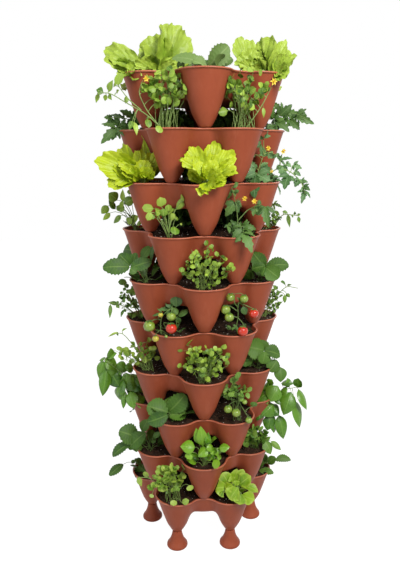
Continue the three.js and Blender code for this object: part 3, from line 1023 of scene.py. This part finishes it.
def settle(points, top_tier):
    """Keeps a plant's points out of its own pot, of the pot above and of the compost."""
    p = points + np.array([0.0, -POCKET_CIRCLE, -SOIL_DROP])
    for _ in range(SETTLE_ROUNDS):
        if not top_tier:
            distance = above(*p.T)
            near = (distance < NEAR_ABOVE) & (p[:, 2] < PITCH + 4)
            if near.any():
                push = gradient(above, p[near])
                push[:, 2] = np.minimum(push[:, 2], MOST_UPWARD)
                p[near] += push * (CLEAR_ABOVE - distance[near])[:, None]
        distance, height = outer(*p.T), p[:, 2]
        by_wall = distance > -WALL - CLEAR_WALL
        p[by_wall & (distance < LIP + 1.0) & (height < OVER_LIP) & (height > -SOIL_DROP), 2] = OVER_LIP
        outside = by_wall & (distance < LIP + 2.0) & (height < OVER_LIP - 1.0)
        if outside.any():
            p[outside] += gradient(outer, p[outside]) * (LIP + CLEAR_LIP - distance[outside])[:, None]
        inside = outer(*p.T) < -WALL
        p[inside, 2] = np.maximum(p[inside, 2], -SOIL_DROP - ROOT_DEPTH)
    return p


# How far leaves may stand outside the solids' box, and over what length they are drawn in
BOX_MARGIN = 7 * MM
DRAW_LENGTH = 100.0 * MM


def keep_in_box(mesh):
    """Draws in a plant whose leaf ends would stand well outside the solids' box."""
    values = np.empty(3 * len(mesh.vertices))
    mesh.vertices.foreach_get("co", values)
    points = values.reshape(-1, 3)
    for axis in (0, 1):
        far = np.abs(points[:, axis])
        most = cad_box[1][axis] + BOX_MARGIN
        start = most - DRAW_LENGTH
        if far.max() > most:
            drawn = start + (far - start) * (most - start) / (far.max() - start)
            points[:, axis] = np.where(far > start, np.sign(points[:, axis]) * drawn, points[:, axis])
    mesh.vertices.foreach_set("co", values)
    mesh.update()


# The plants, each under its tier, pocket and kind, in millimetres from the middle of its pocket's
# compost: X across, -Y outward, Z up. Tier 0 holds the bushes of the pockets that aren't seen.
# S is a stem through points. A letter of LEAVES, or f for a lettuce leaf, has foot, tip and width.
# C is a cluster of small leaves: middle, half sizes, count, least and greatest leaf, spread of feet.
# y is a flower, and red, green and yellow are fruit: centre and radius. Commas part rows of one kind.
PLANT_ROWS = """
@ 1 5 lettuce
f 22 55 15 15 86 120 109, -9 39 17 -27 36 76 47, 7 2 13 -42 -73 49 69, 12 -9 11 0 -55 -9 62,
35 36 12 68 79 22 47, 40 25 10 26 -27 22 40, 3 83 19 14 128 66 43
@ 1 1 lettuce
f -13 48 16 -10 67 87 73, 16 14 17 26 17 92 80, -7 -9 12 4 -39 79 33, -8 -22 10 5 -68 48 62,
-16 -29 7 -19 -62 -1 47, -30 23 11 -51 62 37 44, -36 9 9 -48 27 25 37
@ 1 0 grey_strawberry
w 3 -10 11 -77 -1 29 41, 6 5 14 53 7 57 44, 32 13 14 64 22 33 31, -1 -20 8 -31 -23 21 34,
-50 -2 10 -64 3 22 20
@ 2 5 cress
C 6 -11 99 63 46 34 84 15 21 28; r 38 15 100 54 24 95 22, 34 9 93 36 9 74 22, 25 4 103 34 9 113 21,
-38 -20 88 -42 -16 108 21, -3 -12 71 18 -6 74 23, -20 -16 74 -20 -28 86 21, 7 -43 12 8 -56 -3 19;
S -13 -17 14 -37 -33 48 -51 -44 86 -43 -42 108; y -30 -41 116 14.9;
S -13 -17 14 -39 -34 41 -76 -58 64 -109 -80 87 -132 -95 84; l -117 -70 89 -106 -67 115 20,
-126 -80 88 -140 -89 93 18, -140 -78 86 -149 -80 65 11, -120 -77 83 -127 -74 69 11,
-116 -72 84 -106 -75 70 11, -106 -66 100 -90 -67 108 12; r -104 -50 104 -102 -37 134 28;
l -102 -61 87 -92 -63 93 11, -84 -52 64 -86 -42 82 12, -57 -57 21 -47 -63 -9 13, -60 -59 24 -62 -72 3 14,
-45 -24 29 -30 -15 32 11; r -30 -41 28 -22 -48 8 16; S -48 -38 48 -73 -56 73 -88 -68 98
@ 2 0 cress
C -6 -10 100 64 46 34 84 15 21 30; r -39 15 117 -55 22 118 21, -30 16 127 -25 20 136 20,
-27 14 101 -28 15 114 21, -1 -5 82 3 1 95 22, 32 -35 84 32 -35 100 22, -41 5 48 -65 13 44 22,
13 -16 55 5 -20 65 18; S 7 -15 16 30 -35 58 43 -47 93 47 -53 107; y 44 -58 110 17.2; l 40 -28 56 40 -31 32 9
@ 2 4 tomato
S 7 12 11 12 -17 40 18 -63 40, 7 12 11 13 -26 22 19 -72 7; t -4 1 38 -2 -37 59 25, 4 -22 37 4 -64 46 25,
3 -38 26 -2 -81 21 28, 23 -44 14 41 -85 -26 28, 23 -49 7 38 -56 -17 24, 9 -14 22 22 -37 3 24,
6 5 30 11 14 57 24, 22 -2 14 33 -36 -1 24, 5 -57 37 5 -78 41 20, 0 9 23 9 -6 44 24, 25 2 7 33 -17 -1 20
@ 2 1 tomato
S -8 -2 16 -15 -27 52 -23 -65 52 -30 -95 37; t -4 -2 38 -16 -2 76 24, -13 -24 45 -19 -56 74 26,
-8 -40 53 -6 -85 42 28, -14 -67 45 -20 -118 25 23, -12 -52 38 -27 -78 10 25, -23 -18 30 -38 -48 4 25,
-21 -3 23 -32 -8 0 24, -9 -28 60 3 -3 79 20, -15 -74 52 -13 -99 45 20, -13 -12 38 -21 -39 30 24,
-3 -18 38 1 6 53 20
@ 3 0 gold_lettuce
f 3 -15 15 -70 -18 63 57, 0 5 14 -40 14 96 51, 7 15 14 26 24 108 49, 12 4 14 66 7 86 51,
16 -13 15 74 -22 43 49, 3 -45 16 13 -79 -8 59, 0 -24 19 -22 -23 59 44, 9 -24 19 11 -21 65 44,
10 -39 16 46 -53 15 38, 6 -28 18 33 -30 49 40
@ 3 5 gold_lettuce
f -3 -6 21 -40 -103 68 74, -23 -2 20 -45 -34 103 58, -4 4 21 -11 -10 90 43, -19 19 20 -25 28 125 25,
9 7 21 18 25 83 38, 16 -14 20 -7 -69 56 47, 5 -23 18 -13 -92 -2 49, 23 -10 20 19 -6 62 47,
27 -2 20 32 8 45 43, 20 -23 20 13 -45 41 38
@ 3 1 blue_tomato
S -15 18 -1 -15 8 47 -14 -3 77, -6 -7 19 3 -35 45 14 -67 36 23 -95 11 14 -109 -19; t -31 10 28 -52 2 -30 34,
-27 9 28 -24 -32 5 28, -27 14 32 -42 32 11 24, -14 20 44 -19 37 57 20, -5 9 47 12 -16 31 24,
8 -45 51 6 -47 23 26, 9 -64 28 -9 -61 -9 26, 12 -38 62 33 -65 67 14, 29 -68 51 41 -89 42 13,
21 -76 36 28 -91 24 11, 20 -89 15 11 -82 -3 18, 27 -94 11 19 -114 9 11, 23 -101 -2 5 -125 -10 14,
27 -105 -11 2 -104 -44 15, -8 -5 74 -12 8 99 17, 8 -9 79 14 -25 69 15, -9 1 116 -12 -11 139 23,
-4 11 104 -11 23 96 16, -17 25 77 -21 37 72 16, 18 -53 55 22 -66 47 13, 8 -27 77 21 -35 64 14;
y -8 -12 93 13.1, 6 -48 85 13.6, -12 -25 36 10.0
@ 4 0 tomato
S -11 -2 4 -11 -4 46 -17 -3 89 -27 3 127, -10 -2 46 6 -17 72 23 -32 85 41 -48 83,
-8 -4 42 -1 -13 20 8 -24 3; o -18 15 130 -2 10 141 14; t -20 11 122 -39 14 96 20; o -19 2 117 -10 -5 122 11;
t -16 3 93 -35 17 57 27, -9 8 92 5 3 80 16; y -6 -23 103 13.8, 12 -39 97 14.2; t 36 -30 82 40 -24 99 13,
40 -30 85 33 -23 60 20, 40 -49 83 39 -67 33 25, 22 -30 77 16 -32 59 14, -10 -2 39 -28 2 19 21,
-15 5 39 -30 18 34 14, -31 13 35 -35 -1 16 13, -13 -22 31 -38 -17 5 23, 6 -3 32 13 -12 50 14,
5 -12 33 32 -25 24 19, 1 -18 25 6 -41 18 19, -18 -36 20 -15 -71 -26 30
@ 4 5 sprouts
r -16 -11 82 -16 -14 106 28, -34 -17 77 -61 -29 79 21, -33 -30 69 -41 -37 49 17, -23 -18 53 -29 -18 80 26,
-7 -13 58 -7 -16 78 22, 3 -6 71 3 -7 88 20, 9 1 48 5 2 67 23; o 18 10 75 40 25 110 19;
r 36 13 96 39 11 115 19, 27 -19 35 35 -30 17 25, 17 4 50 19 13 55 11, -38 -29 60 -25 -24 56 13,
-2 0 61 10 15 75 15, 26 13 37 28 19 39 7, -15 -15 68 -29 -21 66 20
@ 4 4 sprouts_dark
o 11 -52 86 13 -74 106 34; l 5 -36 81 3 -36 116 15; o 12 -58 62 15 -75 87 21, 10 -78 71 7 -98 49 22,
13 -73 52 19 -93 33 15, 14 -33 77 16 -3 93 27; r 7 -44 53 7 -43 75 24; o 6 -44 44 1 -66 22 21,
10 -45 65 17 -34 86 15; r 8 -20 102 10 -14 114 14, 4 -17 16 9 5 43 32, 8 -26 22 12 -13 36 22
@ 4 1 thyme
S -11 -17 13 -14 -20 47 -16 -11 75, -12 -26 18 -17 -44 47 -23 -67 45 -29 -90 43; t -6 -13 67 -10 -9 82 13,
-10 -17 75 -14 -42 65 13; l -10 -23 56 -13 -37 42 10, -3 -46 53 -3 -62 47 10, -21 -58 47 -32 -63 11 12,
-13 -69 44 -10 -76 36 10, -13 -79 44 -20 -77 55 8, -14 -86 42 -19 -95 47 9, -10 -90 39 -9 -95 21 10;
r -1 -18 48 -3 -22 36 16; C -12 -26 31 22 15 20 22 8 13 10
@ 5 0 cress
C 1 -16 64 70 55 36 118 10 17 18; r 7 4 117 0 3 129 16, 10 -2 117 20 -4 110 16
@ 5 5 strawberry
w -8 -43 47 -31 -111 49 43, -18 -36 49 -31 -62 81 36, -2 -44 46 24 7 63 34, -26 -24 46 -29 -12 80 26,
-15 -2 60 -12 25 98 30, 8 15 60 8 26 106 12, 4 -47 46 15 -36 34 24
@ 5 1 strawberry
w -1 -13 41 -15 19 82 38, -12 -19 46 -29 15 39 37, 1 -14 43 29 -70 48 44, -14 -20 44 -10 -57 18 42,
-19 -19 47 -29 -13 25 32
@ 6 5 tomato
S 21 3 33 9 -6 82 -16 -22 55 -17 -25 25 -8 -35 9, -18 -20 46 -28 -29 49 -38 -39 44,
-14 -18 38 -1 -13 38 7 -12 35, -19 -21 19 -25 -28 12 -21 -43 7, 8 -5 82 9 -11 70; green -31 -58 37 15.5;
red 21 -32 31 14.9; yellow -9 -63 7 9.1; green 12 -16 58 12.7, 12 -44 11 4.4; yellow -10 -34 64 6.8;
t -4 0 71 -32 -10 70 13, -21 -13 64 -43 -24 54 9; r 10 15 77 6 22 105 28; o 18 8 58 0 6 76 18,
16 12 53 47 27 70 22; t 6 3 80 -8 -12 84 12; r 20 9 35 18 5 52 16
@ 6 0 tomato
S -9 -3 20 -6 -8 53 -9 -8 79 -8 -12 92, -5 -6 78 -16 -2 89 -17 -5 115, -7 -5 67 -24 4 82 -34 8 82,
-7 -5 50 -17 -1 53 -25 1 60, -3 -8 90 16 -25 81 24 -35 76, -5 -6 48 3 -16 36 4 -20 26; green -26 2 106 11.7,
-43 -1 76 12.9, -37 -10 56 12.5, 3 -19 103 11.7; red 15 -48 68 12.9, -14 -40 22 14.2;
o 4 -13 80 13 -17 57 18; t 2 -9 92 -11 -6 106 10, -11 -9 26 -29 -12 19 13
@ 6 4 thyme
C 14 -29 61 44 42 26 46 10 14 13; S 8 -3 8 14 -45 44 20 -86 55, 8 -3 8 13 -23 59 17 -46 113,
8 1 8 12 -10 54 15 -9 90; r 1 -35 109 5 -61 113 22; o 7 -38 108 9 -33 95 14; t 12 -9 91 18 -39 84 20,
4 -13 96 8 -27 75 15; l 5 -44 64 18 -61 71 10, 4 -63 46 1 -93 51 13, 14 -85 49 30 -87 10 12,
18 -45 34 28 -55 12 10; o 3 -20 40 2 -11 62 20; l 6 6 30 17 4 7 14, 9 -30 40 18 -39 56 10,
18 -11 22 31 -23 10 11, 6 -67 44 10 -60 34 8
@ 6 1 thyme
C -17 -30 60 30 35 24 40 9 14 14; S -11 -16 33 -16 -37 69 -23 -63 101 -30 -96 95,
-10 -14 31 -14 -19 64 -19 -31 91; r -18 -62 100 -23 -45 113 19; t -7 -38 86 -6 -27 99 17,
-15 -43 83 -22 -35 75 12; o -11 -62 71 -9 -64 45 13, -11 -67 75 -8 -78 62 12, -3 -17 43 -5 -17 60 17;
t -13 -28 73 -14 -21 83 12; l -7 -49 43 1 -41 44 8; o -11 -36 16 -4 -30 25 12; l -15 -67 101 -24 -79 105 6,
-2 -26 61 -1 -17 66 9
@ 7 0 cress
C 0 -16 68 71 49 34 108 11 18 19; o -50 -3 110 -31 -14 130 19; r -62 -1 95 -74 -3 101 14,
43 -8 101 56 -10 113 18, -5 -2 45 -8 -9 66 23, 59 -7 75 67 -14 89 15, -65 2 45 -73 -1 55 14
@ 7 5 pale_cress
C -11 -39 61 58 35 24 66 12 19 17, 16 5 58 23 23 20 20 12 17 12; r 9 15 41 15 31 37 16, 4 5 87 4 0 103 13;
S 4 -10 14 -8 -39 80 -21 -68 123 -34 -99 116; l -31 -76 122 -41 -103 109 7, -35 -62 121 -32 -47 128 8,
-32 -78 122 -34 -75 109 6
@ 7 1 strawberry
w 0 -19 60 -24 25 72 56, 6 -17 57 30 -57 41 48, -7 -24 60 -18 -21 26 38, 11 -56 32 -8 -40 2 39;
o 14 -65 12 2 -72 -29 31; r -22 28 37 -32 24 13 29; w 14 -9 53 20 -2 83 39
@ 8 4 basil
o 13 -97 124 16 -107 76 33, 18 -61 70 27 -82 16 36, 11 -37 73 21 -16 23 33, 20 -16 23 50 -2 -5 28,
10 -84 120 2 -48 93 31, 3 -16 81 -4 -39 49 28, 12 -104 136 16 -102 174 25;
S 8 4 -7 12 -27 55 17 -73 99 23 -124 137, 8 4 -7 13 -22 32 17 -37 75; o 13 -130 131 9 -153 74 29,
18 -121 107 38 -138 27 35, 12 -127 136 9 -82 107 38, 10 -120 142 10 -82 155 23, 9 -125 141 6 -148 131 26,
10 -109 97 17 -74 45 46, 17 -85 47 23 -76 6 38, 11 -51 91 14 -43 31 38, 21 -57 36 39 -64 -16 19,
29 -37 36 54 -26 -9 33, 3 -27 75 9 4 47 38, 6 -25 106 16 -54 110 29, 13 -68 98 13 -80 89 17,
10 -16 48 27 -27 32 25
@ 8 1 basil
o -25 -21 23 -38 13 -1 37, -19 -12 2 -35 12 -35 34, -30 -88 9 -58 -100 -26 34, -17 -7 -29 -44 12 -62 31,
-20 -29 -22 -46 -59 -47 34, -20 -50 14 -48 -74 -10 34, -22 -99 38 -20 -89 68 25;
S -10 -14 -14 -19 -53 20 -26 -87 34 -34 -121 43, -10 -14 -14 -23 -34 -27 -35 -56 -46;
o -15 -69 49 -32 -113 54 29; r -22 -132 36 -24 -130 69 29; o -41 -128 40 -71 -155 -16 35,
-38 -103 29 -63 -71 -36 48, -36 -115 -1 -58 -137 -83 40, -28 -63 -54 -50 -79 -126 38,
-31 -50 48 -48 -25 2 46, -27 -42 -16 -45 0 -46 43, -23 -35 -48 -43 -20 -99 35, -26 -42 -78 -46 -42 -107 26;
r -1 -6 9 -5 -4 42 29, -13 16 18 -37 8 4 33, -7 -26 45 -16 -35 62 20, -1 31 23 -3 40 32 16,
3 20 36 11 28 42 14, 5 2 44 5 -5 58 17, -5 -21 26 -10 -25 47 23; o -24 -68 31 -43 -87 24 28
@ 8 5 strawberry
w -8 -9 31 -61 -36 49 55, 0 -23 31 -44 -61 15 40, -12 -1 27 26 32 78 52, -9 -6 18 31 27 17 42
@ 8 0 herb
C -12 -11 98 49 28 26 36 12 18 15; r -3 8 114 -5 12 133 22, -2 -10 133 -8 -12 154 18,
-34 29 71 -35 30 89 16, -27 9 67 -33 6 92 24, 12 -13 99 13 -25 111 15, 35 -30 45 38 -37 62 17;
green -35 -9 47 11.8, -20 -27 39 12.3, 7 -50 19 9.7, 4 -33 69 7.2; S -2 -9 26 -3 -12 86 -31 5 108,
0 -10 62 12 -23 34 19 -32 16
@ 9 0 bright_basil
o -28 -19 70 -69 -18 73 33, -16 2 68 -24 4 118 20, -5 -3 64 -12 -6 129 27, 4 1 58 11 -2 107 26;
r 18 -9 73 34 -14 94 22; o 40 -20 66 70 -26 72 23, 5 -24 69 -20 -33 48 27, 11 -25 82 18 -31 60 20;
r 21 -7 49 26 -13 33 19, 35 -9 60 46 -15 47 17, 38 -7 39 47 -9 24 17, 38 -42 41 24 -53 21 25,
-42 -22 53 -51 -29 39 19, 18 -5 81 1 -10 96 20, 10 -4 41 15 -16 23 17, 24 -6 26 37 -19 18 16;
C 20 -23 52 23 20 16 14 13 18 14
@ 9 5 strawberry
w -17 -33 43 -38 -85 71 58, 1 -15 64 -14 -68 19 45, -16 -58 33 -34 -111 -3 34, -21 -16 57 -21 3 92 30;
o 9 3 46 27 23 66 14, 2 2 38 16 9 31 14
@ 9 1 herb
C -7 -9 56 40 24 24 42 15 23 15; o -2 -33 32 -7 -55 -4 28, 8 -49 31 12 -80 7 15, -16 23 14 -14 27 36 18;
r -24 13 31 -34 22 17 23, -1 -8 5 -4 -8 27 15
@ 10 5 bright_herb
C -5 -24 89 54 50 30 96 12 20 22; r 28 18 102 31 15 126 19, 53 1 65 62 -3 52 18, 24 -37 29 27 -47 16 17,
44 -25 17 64 -20 31 15, -68 -37 77 -73 -39 97 16, -37 -50 60 -51 -65 65 19, -38 -57 42 -37 -66 34 11,
-13 -40 71 -9 -45 50 24, 15 8 81 32 18 78 20; S -29 -26 60 -57 -47 86 -82 -65 89; l -83 -61 87 -67 -68 64 14
@ 10 0 rosette
s -11 8 37 -28 28 83 31, 5 8 38 17 13 87 24, 14 2 49 30 0 89 22, 6 -10 45 36 -32 80 34,
6 -22 52 43 -59 38 23, -24 0 46 -61 21 45 31, -19 -15 62 -39 -8 48 27, -12 -34 61 -38 -29 25 36,
-10 -45 43 -22 -56 18 29, -5 -41 37 20 -72 28 30, -43 -1 38 -56 0 28 18, -3 -10 45 -6 -6 65 21,
-4 3 55 -9 12 70 17
@ 10 4 strawberry
w 23 -69 41 58 -110 23 27, 1 -27 -22 -1 -6 23 31, -1 -17 29 -2 -25 48 15, 3 -34 32 1 -44 41 13
@ 10 1 strawberry
w -12 -57 34 -10 -108 35 37, -11 -34 22 -10 -57 46 28, -10 -19 33 -13 -26 59 20, -21 -4 3 -38 -48 4 24,
-14 1 15 -25 -17 37 18
@ 0 0 tomato
C 0 38 42 88 36 52 210 20 36 36
@ 0 1 strawberry
C 0 38 42 88 36 52 200 20 36 36
@ 0 2 herb
C 0 38 42 88 36 52 250 17 31 36
"""


def read_plants():
    """Each plant's kind and rows, by tier and pocket."""
    plants = {}
    for entry in PLANT_ROWS.split("@")[1:]:
        head, text = entry.split("\n", 1)
        tier, pocket, kind = head.split()
        rows = []
        for group in text.split(";"):
            word, numbers = group.split(None, 1)
            rows += [[word, *row.split()] for row in numbers.split(",")]
        plants[int(tier), int(pocket)] = kind, rows
    return plants


PLANTS = read_plants()

# Hidden pockets hold one of the bushes, or another pocket's plant again. The pockets with bushes, and the
# groups that a tier's pockets belong to, are given for odd (1) and even (0) tiers.
BUSH_COUNT = 3
BUSHES = {1: [3], 0: [2, 3]}
AGAIN = {2: 1, 4: 5}
GROUPS = {
    1: ["front", "right", "right", "left", "left", "left"],
    0: ["front", "right", "right", "left", "left", "front"],
}

# The leaf and stem materials of a kind of plant, the slot of its piece, and how full its leaves are
KINDS = {
    "lettuce": ("lettuce", "stem", "leaf_bright", 1.0),
    "gold_lettuce": ("gold_lettuce", "stem", "leaf_bright", 1.0),
    "grey_strawberry": ("grey_strawberry", "stem", "leaf_dark", 1.2),
    "strawberry": ("strawberry", "dark_stem", "leaf_dark", 1.25),
    "cress": ("cress", "stem", "leaf_green", 1.0),
    "pale_cress": ("sprout", "stem", "leaf_green", 1.0),
    "sprouts": ("sprout", "stem", "leaf_bright", 1.0),
    "sprouts_dark": ("cress", "stem", "leaf_green", 1.0),
    "bright_herb": ("sprout", "stem", "leaf_bright", 1.2),
    "herb": ("herb", "dark_stem", "leaf_green", 1.2),
    "thyme": ("herb", "stem", "leaf_green", 1.0),
    "tomato": ("tomato", "dark_stem", "leaf_dark", 1.15),
    "blue_tomato": ("blue_tomato", "stem", "leaf_dark", 1.3),
    "basil": ("basil", "stem", "leaf_green", 1.25),
    "bright_basil": ("bright_basil", "stem", "leaf_green", 1.2),
    "rosette": ("rosette", "stem", "leaf_bright", 1.35),
}

# Where the plants are seen from, in millimetres: its height, and its distance from the pockets
VIEW_HEIGHT = 1169.0
VIEW_DISTANCE = 1400.0


def plant_mesh(tier, pocket):
    kind, rows = PLANTS[tier, pocket]
    leaf, stem, _, fullness = KINDS[kind]
    bearing = math.radians(first_bearing(tier) + STEP * pocket)
    pitch = math.atan2(VIEW_HEIGHT - rim_height(tier), VIEW_DISTANCE)
    view = (-math.sin(bearing) * math.cos(pitch), -math.cos(bearing) * math.cos(pitch), math.sin(pitch))
    materials = [leaf, stem, "flower", "red_fruit", "green_fruit", "yellow_fruit"]
    plant = Plant(materials, view, 10 * tier + pocket, fullness)
    for row in rows:
        if row[0] == "S":
            plant.stem(row[1:])
    for row in rows:
        if row[0] != "S":
            plant.grow(row)
    plant.fill(rows)
    plant.build.points = [settle(np.concatenate(plant.build.points), tier == 1)]
    return plant.build.mesh(f"{kind}_{tier}_{pocket}")


def build_plants():
    made = {key: plant_mesh(*key) for key in PLANTS}
    for tier in range(1, TIERS + 1):
        label, body = tier_names(tier)
        for pocket in range(POCKETS):
            key = (tier, pocket)
            if pocket in BUSHES[tier % 2]:
                key = (0, (tier + pocket) % BUSH_COUNT)
            elif key not in PLANTS:
                key = (tier, AGAIN[pocket])
            kind = PLANTS[key][0]
            name, node = f"{label}_pocket_{pocket + 1}_{kind}", f"{label}_plants_{GROUPS[tier % 2][pocket]}"
            bearing = first_bearing(tier) + STEP * pocket
            piece = place(name, made[key], body, KINDS[kind][2], node, rim_height(tier), bearing)
            keep_in_box(piece.data)


build_plants()

# Floor, backdrop and light
FLOOR_REACH = 6.0
FLOOR_SHADE = 0.5
FLOOR_GLOW = 1.5
FLOOR_GLOW_SHARE = 0.65
WORLD_TINT = (1.0, 0.985, 0.96, 1.0)
WORLD_STRENGTH = 0.2


def white_surface():
    """White with a share of glow for what the camera sees, so that the floor keeps the shadow."""
    n = material_nodes("floor_white")
    shader, output = n.tree.nodes["Principled BSDF"], n.tree.nodes["Material Output"]
    low, high = (FLOOR_SHADE,) * 3, (FLOOR_SHADE * 1.01,) * 3
    color = n.ramp(n.noise(n.coordinates(), 2.0, 2.0), (0.2, (*low, 1.0)), (0.8, (*high, 1.0)))
    n.fill(shader, {"Base Color": color, "Roughness": 0.9})
    glow = n.add("ShaderNodeEmission", {"Strength": FLOOR_GLOW})
    share = n.math("MULTIPLY", n.seen_share(), FLOOR_GLOW_SHARE)
    blend = n.add("ShaderNodeMixShader", {0: share, 1: shader.outputs[0], 2: glow.outputs[0]})
    n.fill(output, {"Surface": blend.outputs[0]})
    return n.owner


def make_floor():
    mesh = bpy.data.meshes.new("floor")
    low, high = -FLOOR_REACH, FLOOR_REACH
    mesh.from_pydata([(low, low, 0), (high, low, 0), (high, high, 0), (low, high, 0)], [], [(0, 1, 2, 3)])
    floor = bpy.data.objects.new("floor", mesh)
    mesh.materials.append(white_surface())
    bpy.context.scene.collection.objects.link(floor)


def make_world():
    """A soft light all round, and white where the backdrop is seen."""
    world = bpy.data.worlds.new("studio")
    bpy.context.scene.world = world
    n = Nodes(world)
    n.tree.nodes.clear()
    soft = n.add("ShaderNodeBackground", {"Color": WORLD_TINT, "Strength": WORLD_STRENGTH})
    white = n.add("ShaderNodeBackground", {"Color": (1.0, 1.0, 1.0, 1.0), "Strength": 1.0})
    blend = n.add("ShaderNodeMixShader", {0: n.seen_share(), 1: soft.outputs[0], 2: white.outputs[0]})
    n.add("ShaderNodeOutputWorld", {"Surface": blend.outputs[0]})


# Each lamp's name, place, aim, sides in metres, watts and colour
LAMPS = [
    ("key", (0.9, -2.0, 2.6), (0, 0, 1.0), (1.0, 1.0), 67.0, (1.0, 0.98, 0.95)),
    ("fill", (-2.4, -1.7, 1.6), (0, 0, 0.8), (1.2, 2.0), 18.0, (0.94, 0.97, 1.0)),
    ("rear", (1.1, 2.7, 2.1), (0, 0, 0.7), (1.6, 1.6), 24.0, (1.0, 1.0, 1.0)),
]


def make_lamp(name, place_at, aim, size, watts, color):
    data = bpy.data.lights.new(name, "AREA")
    data.shape = "RECTANGLE"
    data.size, data.size_y = size
    data.energy = watts
    data.color = color
    lamp = bpy.data.objects.new(name, data)
    lamp.location = place_at
    lamp.rotation_euler = (Vector(aim) - Vector(place_at)).to_track_quat("-Z", "Y").to_euler()
    bpy.context.scene.collection.objects.link(lamp)


make_world()
make_floor()
for lamp in LAMPS:
    make_lamp(*lamp)
bpy.context.scene.view_settings.view_transform = "Standard"
